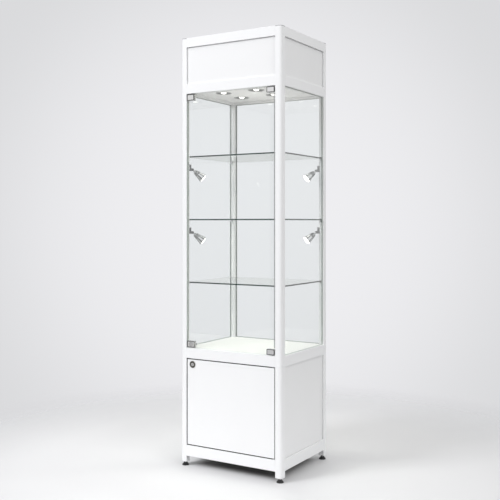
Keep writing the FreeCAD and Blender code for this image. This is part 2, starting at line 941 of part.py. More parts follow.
def hinge_pin_seats():
    """Holes in the door for its pins."""
    start = Vec(hinge_x, hinge_y, cup_bottom - overrun)
    hole = Part.makeCylinder(hinge_pin_radius + running_gap, hinge_pin_seat + overrun + fit_gap, start)
    return [hole, upended(hole, cup_middle)]


def cupboard_door_panel():
    """Board with a tongue all round that sits in the channel of the border."""
    face_inset = border_width + pocket_gap
    tongue_inset = channel_wall + fit_gap
    face = block(
        cup_left + face_inset, cup_right - face_inset, cup_front, cup_back,
        cup_bottom + face_inset, cup_top - face_inset)
    tongue = block(
        cup_left + tongue_inset, cup_right - tongue_inset,
        cup_front + channel_wall + pocket_gap, cup_back - channel_wall - pocket_gap,
        cup_bottom + tongue_inset, cup_top - tongue_inset)
    hole = rod(
        lock_barrel_radius + pocket_gap, cup_lock_x, cup_lock_z, cup_front - overrun, cup_back + overrun)
    return face.fuse(tongue).removeSplitter().cut(hole).cut(hinge_pin_seats())


def cupboard_door_frame():
    """Four mitred channels round the board."""
    x0, x1, z0, z1 = cup_left, cup_right, cup_bottom, cup_top
    b = border_width
    outlines = [
        [(x0, z0), (x1, z0), (x1 - b, z0 + b), (x0 + b, z0 + b)],
        [(x1, z0), (x1, z1), (x1 - b, z1 - b), (x1 - b, z0 + b)],
        [(x1, z1), (x0, z1), (x0 + b, z1 - b), (x1 - b, z1 - b)],
        [(x0, z1), (x0, z0), (x0 + b, z0 + b), (x0 + b, z1 - b)],
    ]
    groove = block(
        x0 + channel_wall, x1 - channel_wall, cup_front + channel_wall, cup_back - channel_wall,
        z0 + channel_wall, z1 - channel_wall)
    strips = []
    for outline in outlines:
        strip = slab_xz([(x, z, 0) for x, z in outline], cup_front, cup_back)
        strips.append(strip.cut([groove] + hinge_pin_seats()))
    return group(strips)


def cupboard_lock_case():
    """Rosette and barrel through the door, and the hexagon nut behind it."""
    rosette_front = cup_front - cupboard_door_recess
    rosette = turned([
        (0, 0, 0),
        (cupboard_rosette_radius - cupboard_rosette_edge, 0, 0),
        (cupboard_rosette_radius, cupboard_rosette_edge, 0),
        (cupboard_rosette_radius, cupboard_door_recess, 0),
        (lock_barrel_radius, cupboard_door_recess, 0),
        (lock_barrel_radius, cup_back + lock_nut_thickness - rosette_front, 0),
        (0, cup_back + lock_nut_thickness - rosette_front, 0),
    ])
    rosette.rotate(Vec(0, 0, 0), Vec(1, 0, 0), -90)
    rosette.translate(Vec(cup_lock_x, rosette_front, cup_lock_z))
    bore = rod(
        cupboard_plug_radius + running_gap, cup_lock_x, cup_lock_z, rosette_front - overrun, cup_cam_front)
    hexagon = []
    for corner in range(6):
        angle = math.radians(60 * corner)
        x = cup_lock_x + lock_nut_radius * math.cos(angle)
        hexagon.append((x, cup_lock_z + lock_nut_radius * math.sin(angle), 0))
    nut = slab_xz(hexagon, cup_back, cup_back + lock_nut_thickness)
    barrel_hole = rod(
        lock_barrel_radius, cup_lock_x, cup_lock_z, cup_back - overrun, cup_cam_front + overrun)
    return group([rosette.cut(bore), nut.cut(barrel_hole)])


# Front rails, cut for the doors' pins and for the cams of their locks

def hinge_hole(z):
    start = Vec(hinge_x, hinge_y, z - section_wall - overrun)
    return Part.makeCylinder(hinge_pin_radius + running_gap, 2 * section_wall + 2 * overrun, start)


def base_rail_front():
    return rail_at("base", "front", ()).cut(hinge_hole(base_rail_top))


def mid_rail_front():
    glass_strike = strike_slot(
        glass_lock_x, glass_lock_z - mid_rail_top, glass_cam_reach, glass_cam_front, mid_rail_top)
    cupboard_strike = strike_slot(
        cup_lock_x, mid_rail_bottom - cup_lock_z, cup_cam_reach, cup_cam_front, mid_rail_bottom)
    return rail_at("mid", "front", ()).cut([glass_strike, cupboard_strike, hinge_hole(mid_rail_bottom)])


# Every node and its shape

def build():
    nodes = {}
    for corner in CORNERS:
        nodes["post_" + corner] = on_corner(post(), corner)
        nodes["levelling_foot_" + corner] = on_corner(levelling_foot(), corner)
    nodes["post_caps"] = group(on_corner(post_cap(), corner) for corner in CORNERS)
    nodes["foot_inserts"] = group(on_corner(foot_insert(), corner) for corner in CORNERS)

    nodes["base_rail_front"] = on_side(base_rail_front(), "front")
    nodes["mid_rail_front"] = on_side(mid_rail_front(), "front")
    nodes["header_rail_front"] = on_side(rail_at("header", "front", ("top",)), "front")
    for level, slots in (("base", ("top",)), ("mid", ("top", "bottom")), ("header", ("top", "bottom"))):
        nodes[level + "_rail_rear"] = on_side(rail_at(level, "rear", slots), "rear")
        nodes[level + "_rails_side"] = side_pair(rail_at(level, "left", slots))
    top_long = rail_at("top", "front", ("bottom",))
    nodes["top_rails_long"] = group(on_side(top_long, side) for side in ("front", "rear"))
    nodes["top_rails_side"] = side_pair(rail_at("top", "left", ("bottom",)))

    header_long = slotted_sheet(span_x, header_rail_top, top_rail_bottom, panel_thickness)
    header_short = slotted_sheet(span_y, header_rail_top, top_rail_bottom, panel_thickness)
    nodes["header_panels"] = group([
        on_side(header_long, "front"),
        on_side(header_short, "right"),
        on_side(header_long, "rear").cut(gland_hole()),
        on_side(header_short, "left"),
    ])
    cupboard_long = slotted_sheet(span_x, base_rail_top, mid_rail_bottom, panel_thickness)
    cupboard_short = slotted_sheet(span_y, base_rail_top, mid_rail_bottom, panel_thickness)
    nodes["cupboard_panels"] = group([
        on_side(cupboard_short, "left"),
        on_side(cupboard_short, "right"),
        on_side(cupboard_long, "rear"),
    ])
    nodes["roof_panel"] = notched_board(frame_top - board_thickness)
    nodes["ceiling_panel"] = ceiling_panel()
    nodes["display_deck"] = notched_board(mid_rail_top - board_thickness)
    nodes["cupboard_floor"] = notched_board(base_rail_top - board_thickness)

    side_pane = slotted_sheet(span_y, mid_rail_top, header_bottom, pane_thickness)
    rear_pane = slotted_sheet(span_x, mid_rail_top, header_bottom, pane_thickness)
    nodes["side_glass_panes"] = side_pair(side_pane)
    nodes["rear_glass_pane"] = on_side(rear_pane, "rear")
    nodes["glazing_gaskets"] = group(
        on_side(ring, side) for side in ("left", "right", "rear") for ring in gaskets(SIDES[side][2]))
    for name, bottom in shelf_bottoms.items():
        nodes["shelf_" + name] = shelf(bottom)
    nodes["shelf_supports"] = shelf_supports()

    nodes["downlight_bezels"] = at_downlights(downlight_bezel())
    nodes["downlight_lamps"] = at_downlights(downlight_lamp())
    nodes["lamp_driver"] = lamp_driver()
    nodes["cable_gland"] = cable_gland()
    nodes["spotlight_mounts"] = group(at_spotlight(spotlight_mount(), name) for name in SPOTLIGHTS)
    for name in SPOTLIGHTS:
        nodes["spotlight_head_" + name] = at_spotlight(spotlight_head(), name)
        nodes["spotlight_lamp_" + name] = at_spotlight(spotlight_lamp(), name)

    front_pieces = {
        "glass_door_pane": glass_door_pane(),
        "glass_door_clamps": lower_and_upper(glass_door_clamp()),
        "glass_door_pivots": lower_and_upper(glass_door_pivot()),
        "glass_lock_case": glass_lock_case(),
        "glass_lock_plug": lock_plug(
            glass_lock_x, glass_lock_z, glass_plug_radius, fitting_front, glass_cam_front, glass_cam_reach),
        "catch_clip": catch_clip(),
        "catch_magnet": catch_magnet(),
        "door_seal_strips": door_seal_strips(),
        "cupboard_door_panel": cupboard_door_panel(),
        "cupboard_door_frame": cupboard_door_frame(),
        "cupboard_hinge_pins": cupboard_hinge_pins(),
        "cupboard_lock_case": cupboard_lock_case(),
        "cupboard_lock_plug": lock_plug(
            cup_lock_x, cup_lock_z, cupboard_plug_radius, cup_front - cupboard_door_recess, cup_cam_front,
            cup_cam_reach),
    }
    for name, shape in front_pieces.items():
        nodes[name] = on_side(shape, "front")
    return nodes


os.makedirs("parts", exist_ok=True)
for node, shape in build().items():
    shape.exportStep("parts/" + node + ".step")
    box = shape.BoundBox
    print("%-34s solids %2d valid %s volume %9.0f  z %.1f..%.1f" % (
        node, len(shape.Solids), shape.isValid(), shape.Volume, box.ZMin, box.ZMax))
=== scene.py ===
"""A tall glass display cabinet: its finishes, small fittings, lamps, camera and studio.

Everything is in metres, in the frame of the cabinet: +X to the right, +Y to the back, +Z up,
with the origin in the middle of the footprint at floor level.  Both doors face -Y.
"""
import bpy
import bmesh
import json
import math
from mathutils import Matrix, Vector


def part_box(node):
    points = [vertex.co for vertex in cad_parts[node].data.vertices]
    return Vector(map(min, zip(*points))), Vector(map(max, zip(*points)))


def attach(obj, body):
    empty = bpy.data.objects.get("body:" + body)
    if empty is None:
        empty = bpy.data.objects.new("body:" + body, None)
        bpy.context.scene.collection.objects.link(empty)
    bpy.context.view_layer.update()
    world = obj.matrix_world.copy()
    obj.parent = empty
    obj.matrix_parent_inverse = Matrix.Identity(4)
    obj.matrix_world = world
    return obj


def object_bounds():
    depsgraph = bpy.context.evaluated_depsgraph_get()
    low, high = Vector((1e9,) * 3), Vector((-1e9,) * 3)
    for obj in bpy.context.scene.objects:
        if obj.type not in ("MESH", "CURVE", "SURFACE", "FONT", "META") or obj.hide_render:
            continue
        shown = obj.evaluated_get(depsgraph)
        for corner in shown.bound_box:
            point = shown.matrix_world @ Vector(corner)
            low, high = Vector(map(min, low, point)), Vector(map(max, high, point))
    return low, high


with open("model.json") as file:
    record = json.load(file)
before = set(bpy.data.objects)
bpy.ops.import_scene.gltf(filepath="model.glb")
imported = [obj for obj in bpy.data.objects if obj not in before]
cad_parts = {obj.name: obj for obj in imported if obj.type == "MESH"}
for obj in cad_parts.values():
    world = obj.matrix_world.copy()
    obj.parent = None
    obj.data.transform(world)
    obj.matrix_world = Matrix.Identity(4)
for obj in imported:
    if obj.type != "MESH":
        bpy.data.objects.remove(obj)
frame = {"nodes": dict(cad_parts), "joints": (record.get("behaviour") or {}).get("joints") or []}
cad_low, cad_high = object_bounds()
cad_nodes = frame["nodes"]

MM = 0.001
CORNERS = ("front_left", "front_right", "rear_right", "rear_left")
SPOTLIGHTS = ("front_upper", "front_lower", "rear_upper", "rear_lower")

# Scales of the noise that makes lines along one axis
ALONG_X = (5.0, 700.0, 700.0)
ALONG_Y = (700.0, 5.0, 700.0)
ALONG_Z = (700.0, 700.0, 5.0)
FINE_ALONG_Z = (900.0, 900.0, 60.0)
FINE_LEVEL = (60.0, 60.0, 2500.0)
FINE_EVEN = (900.0, 900.0, 900.0)

# Glass: through its faces, in its shadows and through its edges
PANE_TINT = (0.965, 0.980, 0.978, 1)
SHELF_TINT = (0.955, 0.980, 0.975, 1)
SHADE_TINT = (0.86, 0.87, 0.865, 1)
GREEN_EDGE = (0.46, 0.59, 0.53, 1)
DARK_EDGE = (0.004, 0.055, 0.038, 1)
GLASS_IOR = 1.5

# Skin of moulded plastic and rubber
SKIN_SCALE = 800.0
SKIN_DEPTH = 0.03 * MM

NOISE_ROUGHNESS = 0.55


# Node trees

def add_node(tree, kind, **settings):
    node = tree.nodes.new(kind)
    for name, value in settings.items():
        setattr(node, name, value)
    return node


def feed(tree, socket, value):
    """Links an output to a socket, or sets the socket's own value."""
    if isinstance(value, bpy.types.NodeSocket):
        tree.links.new(value, socket)
    else:
        socket.default_value = value


def math_node(tree, operation, first, second=0.0, clamp=False):
    node = add_node(tree, "ShaderNodeMath", operation=operation, use_clamp=clamp)
    feed(tree, node.inputs[0], first)
    feed(tree, node.inputs[1], second)
    return node.outputs[0]


def blend_node(tree, kind, share, first, second):
    node = add_node(tree, "ShaderNodeMix", data_type=kind)
    feed(tree, node.inputs["Factor"], share)
    feed(tree, node.inputs["A"], first)
    feed(tree, node.inputs["B"], second)
    return node.outputs["Result"]


def blend_colour(tree, share, first, second):
    return blend_node(tree, "RGBA", share, first, second)


def blend_value(tree, share, first, second):
    return blend_node(tree, "FLOAT", share, first, second)


def range_node(tree, value, from_low, from_high, to_low, to_high):
    """Smooth step from one range to another."""
    node = add_node(tree, "ShaderNodeMapRange", interpolation_type="SMOOTHSTEP")
    tree.links.new(value, node.inputs["Value"])
    node.inputs["From Min"].default_value = from_low
    node.inputs["From Max"].default_value = from_high
    node.inputs["To Min"].default_value = to_low
    node.inputs["To Max"].default_value = to_high
    return node.outputs["Result"]


def vector_node(tree, operation, first, second=None):
    """Vector maths; gives the single value where the operation has one."""
    node = add_node(tree, "ShaderNodeVectorMath", operation=operation)
    feed(tree, node.inputs[0], first)
    if second is not None:
        feed(tree, node.inputs[1], second)
    return node.outputs["Value" if operation in ("DOT_PRODUCT", "LENGTH") else "Vector"]


def axes_of(tree, vector):
    """The parts of a vector, to be picked as X, Y or Z."""
    node = add_node(tree, "ShaderNodeSeparateXYZ")
    tree.links.new(vector, node.inputs["Vector"])
    return node.outputs


def new_group(name, inputs, outputs):
    """Shader node group with float, vector or colour sockets, given as (name, kind, default)."""
    tree = bpy.data.node_groups.new(name, "ShaderNodeTree")
    for label, kind, default in inputs:
        socket = tree.interface.new_socket(label, in_out="INPUT", socket_type=kind)
        socket.default_value = default
    for label, kind in outputs:
        tree.interface.new_socket(label, in_out="OUTPUT", socket_type=kind)
    return tree, tree.nodes.new("NodeGroupInput"), tree.nodes.new("NodeGroupOutput")


def noise(tree, vector, scale, detail=3.0):
    node = add_node(tree, "ShaderNodeTexNoise")
    feed(tree, node.inputs["Vector"], vector)
    feed(tree, node.inputs["Scale"], scale)
    node.inputs["Detail"].default_value = detail
    node.inputs["Roughness"].default_value = NOISE_ROUGHNESS
    return node.outputs["Fac"]


def object_coordinates(tree, stretch=(1.0, 1.0, 1.0)):
    coordinates = add_node(tree, "ShaderNodeTexCoord")
    mapping = add_node(tree, "ShaderNodeMapping")
    tree.links.new(coordinates.outputs["Object"], mapping.inputs["Vector"])
    mapping.inputs["Scale"].default_value = stretch
    return mapping.outputs["Vector"]


def edge_wear_and_shade_group():
    """Mask along outside edges, broken up by noise; it carries wear, and on some metals painted
    dark reflections.
    """
    tree, inside, outside = new_group(
        "edge_wear_and_shade",
        [("Radius", "NodeSocketFloat", 0.6 * MM), ("Amount", "NodeSocketFloat", 1.0),
         ("Break Up", "NodeSocketFloat", 120.0)],
        [("Mask", "NodeSocketFloat")])
    contrast = 4.0
    bevel = add_node(tree, "ShaderNodeBevel", samples=4)
    tree.links.new(inside.outputs["Radius"], bevel.inputs["Radius"])
    geometry = add_node(tree, "ShaderNodeNewGeometry")
    flat = vector_node(tree, "DOT_PRODUCT", bevel.outputs["Normal"], geometry.outputs["Normal"])
    edge = math_node(tree, "SUBTRACT", 1.0, flat)
    edge = math_node(tree, "MULTIPLY", edge, contrast, clamp=True)
    broken = noise(tree, object_coordinates(tree), inside.outputs["Break Up"], 4.0)
    edge = math_node(tree, "MULTIPLY", edge, broken)
    mask = math_node(tree, "MULTIPLY", edge, inside.outputs["Amount"], clamp=True)
    tree.links.new(mask, outside.inputs["Mask"])
    return tree


def dust_group():
    """Faint cloudy unevenness with fine specks."""
    tree, inside, outside = new_group(
        "settled_dust",
        [("Scale", "NodeSocketFloat", 6.0), ("Speck Scale", "NodeSocketFloat", 900.0),
         ("Amount", "NodeSocketFloat", 1.0)],
        [("Mask", "NodeSocketFloat")])
    cloud_floor = 0.42
    speck_floor = 0.68
    speck_weight = 0.35
    place = object_coordinates(tree)
    clouds = noise(tree, place, inside.outputs["Scale"], 5.0)
    clouds = math_node(tree, "SUBTRACT", clouds, cloud_floor, clamp=True)
    specks = noise(tree, place, inside.outputs["Speck Scale"], 2.0)
    specks = math_node(tree, "GREATER_THAN", specks, speck_floor)
    specks = math_node(tree, "MULTIPLY", specks, speck_weight)
    total = math_node(tree, "ADD", clouds, specks)
    mask = math_node(tree, "MULTIPLY", total, inside.outputs["Amount"], clamp=True)
    tree.links.new(mask, outside.inputs["Mask"])
    return tree


def grain_group():
    """Fine lines drawn out along one axis, which the stretch makes long."""
    tree, inside, outside = new_group(
        "drawn_lines",
        [("Stretch", "NodeSocketVector", ALONG_Z),
         ("Orange Peel Scale", "NodeSocketFloat", 520.0)],
        [("Lines", "NodeSocketFloat"), ("Height", "NodeSocketFloat")])
    line_weight = 0.45
    place = add_node(tree, "ShaderNodeTexCoord").outputs["Object"]
    stretched = vector_node(tree, "MULTIPLY", place, inside.outputs["Stretch"])
    lines = noise(tree, stretched, 1.0, 2.0)
    peel = noise(tree, place, inside.outputs["Orange Peel Scale"], 1.0)
    height = math_node(tree, "MULTIPLY", lines, line_weight)
    height = math_node(tree, "ADD", height, peel)
    tree.links.new(lines, outside.inputs["Lines"])
    tree.links.new(height, outside.inputs["Height"])
    return tree


def smudge_group():
    """Wiping marks on glass: long faint streaks inside larger patches."""
    tree, inside, outside = new_group(
        "wiping_marks",
        [("Patch Scale", "NodeSocketFloat", 3.0), ("Amount", "NodeSocketFloat", 1.0)],
        [("Mask", "NodeSocketFloat")])
    patch_floor = 0.45
    wiped_level = (14.0, 14.0, 90.0)
    patches = noise(tree, object_coordinates(tree), inside.outputs["Patch Scale"], 2.0)
    patches = math_node(tree, "SUBTRACT", patches, patch_floor, clamp=True)
    streaks = noise(tree, object_coordinates(tree, wiped_level), 1.0, 3.0)
    marks = math_node(tree, "MULTIPLY", patches, streaks)
    mask = math_node(tree, "MULTIPLY", marks, inside.outputs["Amount"], clamp=True)
    tree.links.new(mask, outside.inputs["Mask"])
    return tree


EDGE_WEAR_AND_SHADE = edge_wear_and_shade_group()
DUST = dust_group()
GRAIN = grain_group()
SMUDGES = smudge_group()


def use_group(tree, group, **values):
    """Places a node group; an underscore in a value's name stands for a space."""
    node = add_node(tree, "ShaderNodeGroup", node_tree=group)
    for name, value in values.items():
        feed(tree, node.inputs[name.replace("_", " ")], value)
    return node


def new_material(name):
    material = bpy.data.materials.new(name)
    material.use_nodes = True
    return material, material.node_tree, material.node_tree.nodes["Principled BSDF"]


def add_bump(tree, shader, height, distance):
    bump = add_node(tree, "ShaderNodeBump")
    bump.inputs["Distance"].default_value = distance
    tree.links.new(height, bump.inputs["Height"])
    tree.links.new(bump.outputs["Normal"], shader.inputs["Normal"])


# Finishes

def shaded(colour, share, lift=0.0):
    """A colour made darker or lighter, as the value of a colour socket."""
    return tuple(min(1.0, part * share + lift) for part in colour) + (1,)


def powder_coat(name, stretch):
    """White satin powder coat on an extrusion, with its drawn lines just showing through."""
    material, tree, shader = new_material(name)
    dust = use_group(tree, DUST, Scale=4.0, Amount=0.5).outputs["Mask"]
    wear_and_shade = use_group(tree, EDGE_WEAR_AND_SHADE, Radius=0.7 * MM, Amount=0.8).outputs["Mask"]
    grain = use_group(tree, GRAIN, Stretch=stretch)
    colour = blend_colour(tree, dust, (0.882, 0.885, 0.892, 1), (0.81, 0.815, 0.815, 1))
    colour = blend_colour(tree, wear_and_shade, colour, (0.93, 0.93, 0.93, 1))
    rough = blend_value(tree, grain.outputs["Lines"], 0.24, 0.38)
    tree.links.new(colour, shader.inputs["Base Color"])
    tree.links.new(rough, shader.inputs["Roughness"])
    add_bump(tree, shader, grain.outputs["Height"], 0.02 * MM)
    return material


def melamine_board(name, white=0.865, warmth=-0.006):
    """White board with a fine pearl structure; warmth takes blue out of its white."""
    material, tree, shader = new_material(name)
    place = object_coordinates(tree)
    pearl = noise(tree, place, 1400.0, 2.0)
    dust = use_group(tree, DUST, Scale=3.0, Speck_Scale=700.0, Amount=0.4).outputs["Mask"]
    wear_and_shade = use_group(tree, EDGE_WEAR_AND_SHADE, Radius=0.5 * MM, Amount=0.5).outputs["Mask"]
    dusty = white - 0.07
    clean_tone = (white, white - warmth / 3, white - warmth, 1)
    dusty_tone = (dusty, dusty, dusty - 0.005 - warmth, 1)
    colour = blend_colour(tree, dust, clean_tone, dusty_tone)
    colour = blend_colour(tree, wear_and_shade, colour, (0.78, 0.77, 0.75, 1))
    tree.links.new(colour, shader.inputs["Base Color"])
    tree.links.new(blend_value(tree, pearl, 0.30, 0.50), shader.inputs["Roughness"])
    add_bump(tree, shader, pearl, 0.03 * MM)
    return material


def clear_glass(name, face_axis, body_tint, edge_tint):
    """Float glass: clear through its faces, green through its polished edges."""
    material, tree, shader = new_material(name)
    smudge_roughness = 0.12
    edge_roughness = 0.10
    normal = add_node(tree, "ShaderNodeTexCoord").outputs["Normal"]
    along_face = math_node(tree, "ABSOLUTE", axes_of(tree, normal)[face_axis])
    edge = math_node(tree, "LESS_THAN", along_face, 0.5)
    smudge = use_group(tree, SMUDGES, Amount=0.5).outputs["Mask"]
    tree.links.new(blend_colour(tree, edge, body_tint, edge_tint), shader.inputs["Base Color"])
    rough = math_node(tree, "MULTIPLY", smudge, smudge_roughness)
    rough = blend_value(tree, edge, rough, edge_roughness)
    tree.links.new(rough, shader.inputs["Roughness"])
    shader.inputs["Transmission Weight"].default_value = 1.0
    shader.inputs["IOR"].default_value = GLASS_IOR
    path = add_node(tree, "ShaderNodeLightPath")
    clear = add_node(tree, "ShaderNodeBsdfTransparent")
    tree.links.new(blend_colour(tree, edge, SHADE_TINT, edge_tint), clear.inputs["Color"])
    mix = add_node(tree, "ShaderNodeMixShader")
    soft_ray = math_node(
        tree, "MAXIMUM", path.outputs["Is Shadow Ray"], path.outputs["Is Diffuse Ray"])
    tree.links.new(soft_ray, mix.inputs["Fac"])
    tree.links.new(shader.outputs["BSDF"], mix.inputs[1])
    tree.links.new(clear.outputs["BSDF"], mix.inputs[2])
    tree.links.new(mix.outputs["Shader"], tree.nodes["Material Output"].inputs["Surface"])
    return material


def metal(name, colour, rough_low, rough_high, stretch=FINE_EVEN, edge=1.15):
    """Plated or turned metal with hairlines; edge is how bright its edges are: above one they are
    lighter with wear, below one they are darker, a painted dark reflection.
    """
    material, tree, shader = new_material(name)
    lines = noise(tree, object_coordinates(tree, stretch), 1.0, 3.0)
    wear_and_shade = use_group(tree, EDGE_WEAR_AND_SHADE, Radius=0.3 * MM, Amount=0.7, Break_Up=600.0).outputs["Mask"]
    tone = blend_colour(tree, lines, shaded(colour, 0.88), colour + (1,))
    # Edges: lighter with wear where edge is above one, painted dark reflections where it is below
    # one.
    tone = blend_colour(tree, wear_and_shade, tone, shaded(colour, edge))
    tree.links.new(tone, shader.inputs["Base Color"])
    tree.links.new(blend_value(tree, lines, rough_low, rough_high), shader.inputs["Roughness"])
    shader.inputs["Metallic"].default_value = 1.0
    add_bump(tree, shader, lines, 0.004 * MM)
    return material


def turned_rosette(name):
    """Metal disc with a dark knurled band and a bright edge round its middle; the band's darkness
    is partly its knurls and partly painted shade.
    """
    low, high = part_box("cupboard_lock_case")
    outer = (high.z - low.z) / 2
    material, tree, shader = new_material(name)
    knurls = 40.0
    band_start, band_full = outer - 9.2 * MM, outer - 8.6 * MM
    rim_start, rim_full = outer - 1.5 * MM, outer - 1.1 * MM
    place = add_node(tree, "ShaderNodeTexCoord").outputs["Object"]
    centred = vector_node(tree, "SUBTRACT", place, (low + high) / 2)
    upright = vector_node(tree, "MULTIPLY", centred, (1.0, 0.0, 1.0))
    radius = vector_node(tree, "LENGTH", upright)
    axes = axes_of(tree, upright)
    angle = math_node(tree, "ARCTAN2", axes["Z"], axes["X"])
    knurl = math_node(tree, "SINE", math_node(tree, "MULTIPLY", angle, knurls))
    knurl = range_node(tree, knurl, -1.0, 1.0, 0.0, 1.0)
    knurl_and_shade_band = math_node(
        tree, "MULTIPLY", range_node(tree, radius, band_start, band_full, 0.0, 1.0),
        range_node(tree, radius, rim_start, rim_full, 1.0, 0.0))
    lines = noise(tree, object_coordinates(tree), 900.0, 3.0)
    bright = blend_colour(tree, lines, (0.50, 0.49, 0.47, 1), (0.62, 0.61, 0.59, 1))
    # Knurls in the band, deepened with painted shade.
    knurls_and_shade = blend_colour(tree, knurl, (0.03, 0.03, 0.027, 1), (0.25, 0.24, 0.215, 1))
    tree.links.new(blend_colour(tree, knurl_and_shade_band, bright, knurls_and_shade), shader.inputs["Base Color"])
    tree.links.new(blend_value(tree, lines, 0.25, 0.40), shader.inputs["Roughness"])
    shader.inputs["Metallic"].default_value = 1.0
    height = math_node(tree, "MULTIPLY", knurl_and_shade_band, knurl)
    add_bump(tree, shader, height, 0.3 * MM)
    return material


def moulded(name, colour, rough_low, rough_high):
    """Moulded plastic or rubber with a fine skin."""
    material, tree, shader = new_material(name)
    skin = noise(tree, object_coordinates(tree), SKIN_SCALE, 3.0)
    dust = use_group(tree, DUST, Scale=40.0, Amount=0.6).outputs["Mask"]
    wear_and_shade = use_group(tree, EDGE_WEAR_AND_SHADE, Radius=0.4 * MM, Amount=0.5, Break_Up=400.0).outputs["Mask"]
    dust_tone = 0.55
    dust_share = 0.25
    dusty = shaded(colour, 1.0 - dust_share, dust_tone * dust_share)
    tone = blend_colour(tree, dust, colour + (1,), dusty)
    tone = blend_colour(tree, wear_and_shade, tone, shaded(colour, 1.3, 0.02))
    tree.links.new(tone, shader.inputs["Base Color"])
    tree.links.new(blend_value(tree, skin, rough_low, rough_high), shader.inputs["Roughness"])
    add_bump(tree, shader, skin, SKIN_DEPTH)
    return material


def glazing_rubber(name, inner, outer):
    """Rubber whose lips that face away from the middle of the cabinet are lighter: painted light
    on the outer lips, painted shade on the inner ones.
    """
    material, tree, shader = new_material(name)
    coordinates = add_node(tree, "ShaderNodeTexCoord")
    level = vector_node(tree, "MULTIPLY", coordinates.outputs["Object"], (1.0, 1.0, 0.0))
    outward = vector_node(tree, "DOT_PRODUCT", coordinates.outputs["Normal"], level)
    painted_outer_light = range_node(tree, outward, -0.05, 0.05, 0.0, 1.0)
    skin = noise(tree, object_coordinates(tree), SKIN_SCALE, 3.0)
    dust = use_group(tree, DUST, Scale=40.0, Amount=0.6).outputs["Mask"]
    # Outer lips lighter and inner lips darker: painted light and shade.
    tone = blend_colour(tree, painted_outer_light, inner, outer)
    tone = blend_colour(tree, dust, tone, (0.60, 0.60, 0.58, 1))
    tree.links.new(tone, shader.inputs["Base Color"])
    tree.links.new(blend_value(tree, skin, 0.45, 0.65), shader.inputs["Roughness"])
    add_bump(tree, shader, skin, SKIN_DEPTH)
    return material


def lit_lamp(name, strength, colour=(1.0, 0.96, 0.88)):
    """Frosted lamp dome that glows through the cells of its diffuser."""
    material, tree, shader = new_material(name)
    cells = add_node(tree, "ShaderNodeTexVoronoi")
    tree.links.new(object_coordinates(tree), cells.inputs["Vector"])
    cells.inputs["Scale"].default_value = 260.0
    distance = cells.outputs["Distance"]
    glow = blend_colour(tree, distance, colour + (1,), shaded(colour, 0.55))
    tree.links.new(glow, shader.inputs["Emission Color"])
    shader.inputs["Emission Strength"].default_value = strength
    shader.inputs["Base Color"].default_value = (0.85, 0.85, 0.83, 1)
    tree.links.new(blend_value(tree, distance, 0.15, 0.4), shader.inputs["Roughness"])
    return material


FINISHES = {
    "coat_upright": powder_coat("coat_upright", ALONG_Z),
    "coat_long": powder_coat("coat_long", ALONG_X),
    "coat_side": powder_coat("coat_side", ALONG_Y),
    "board": melamine_board("white_board"),
    "deck": melamine_board("white_deck", 0.97, 0.04),
    "door_board": melamine_board("door_board", 0.872),
    "side_pane": clear_glass("side_pane", "X", PANE_TINT, GREEN_EDGE),
    "front_pane": clear_glass("front_pane", "Y", PANE_TINT, GREEN_EDGE),
    "shelf": clear_glass("shelf_sheet", "Z", SHELF_TINT, DARK_EDGE),
    # Chrome, satin, plate and bezel take edge shares below one: painted dark reflections along
    # their edges.
    "chrome": metal("bright_chrome", (0.90, 0.90, 0.91), 0.05, 0.14, edge=0.45),
    "satin": metal("satin_chrome", (0.58, 0.58, 0.59), 0.24, 0.38, FINE_ALONG_Z, 0.4),
    "dark_satin": metal("dark_satin", (0.34, 0.34, 0.35), 0.26, 0.40),
    # Dark rims that paint the shade round the edges of the door fittings' plates.
    "outline_shade": metal("painted_shade_rim", (0.045, 0.045, 0.045), 0.25, 0.40, edge=1.6),
    "plate": metal("face_plate", (0.90, 0.90, 0.90), 0.18, 0.30, FINE_ALONG_Z, 0.4),
    "rosette": turned_rosette("lock_rosette"),
    "steel": metal("turned_steel", (0.52, 0.52, 0.54), 0.25, 0.4, FINE_LEVEL),
    "bezel": metal("satin_bezel", (0.62, 0.62, 0.61), 0.24, 0.36, edge=0.5),
    "downlight": lit_lamp("downlight_dome", 2.6),
    "spot_lamp": lit_lamp("spotlight_dome", 6.0, (1.0, 0.965, 0.89)),
    "driver": moulded("driver_case", (0.80, 0.80, 0.78), 0.4, 0.55),
    "gasket": glazing_rubber("glazing_gasket", (0.30, 0.33, 0.31, 1), (0.62, 0.65, 0.63, 1)),
    # Black rubber for the cable gland; the same dark finish paints shade in the cupboard door's
    # gaps.
    "rubber_and_shade": moulded("black_rubber_and_shade", (0.030, 0.031, 0.031), 0.55, 0.75),
    "seal": moulded("clear_seal", (0.70, 0.70, 0.67), 0.30, 0.45),
    "cap": moulded("grey_cap", (0.34, 0.345, 0.35), 0.4, 0.55),
    "insert": moulded("black_insert", (0.03, 0.03, 0.03), 0.4, 0.6),
    "foot": moulded("black_foot", (0.016, 0.016, 0.017), 0.28, 0.42),
    "magnet": moulded("magnet_case", (0.62, 0.62, 0.60), 0.4, 0.55),
}

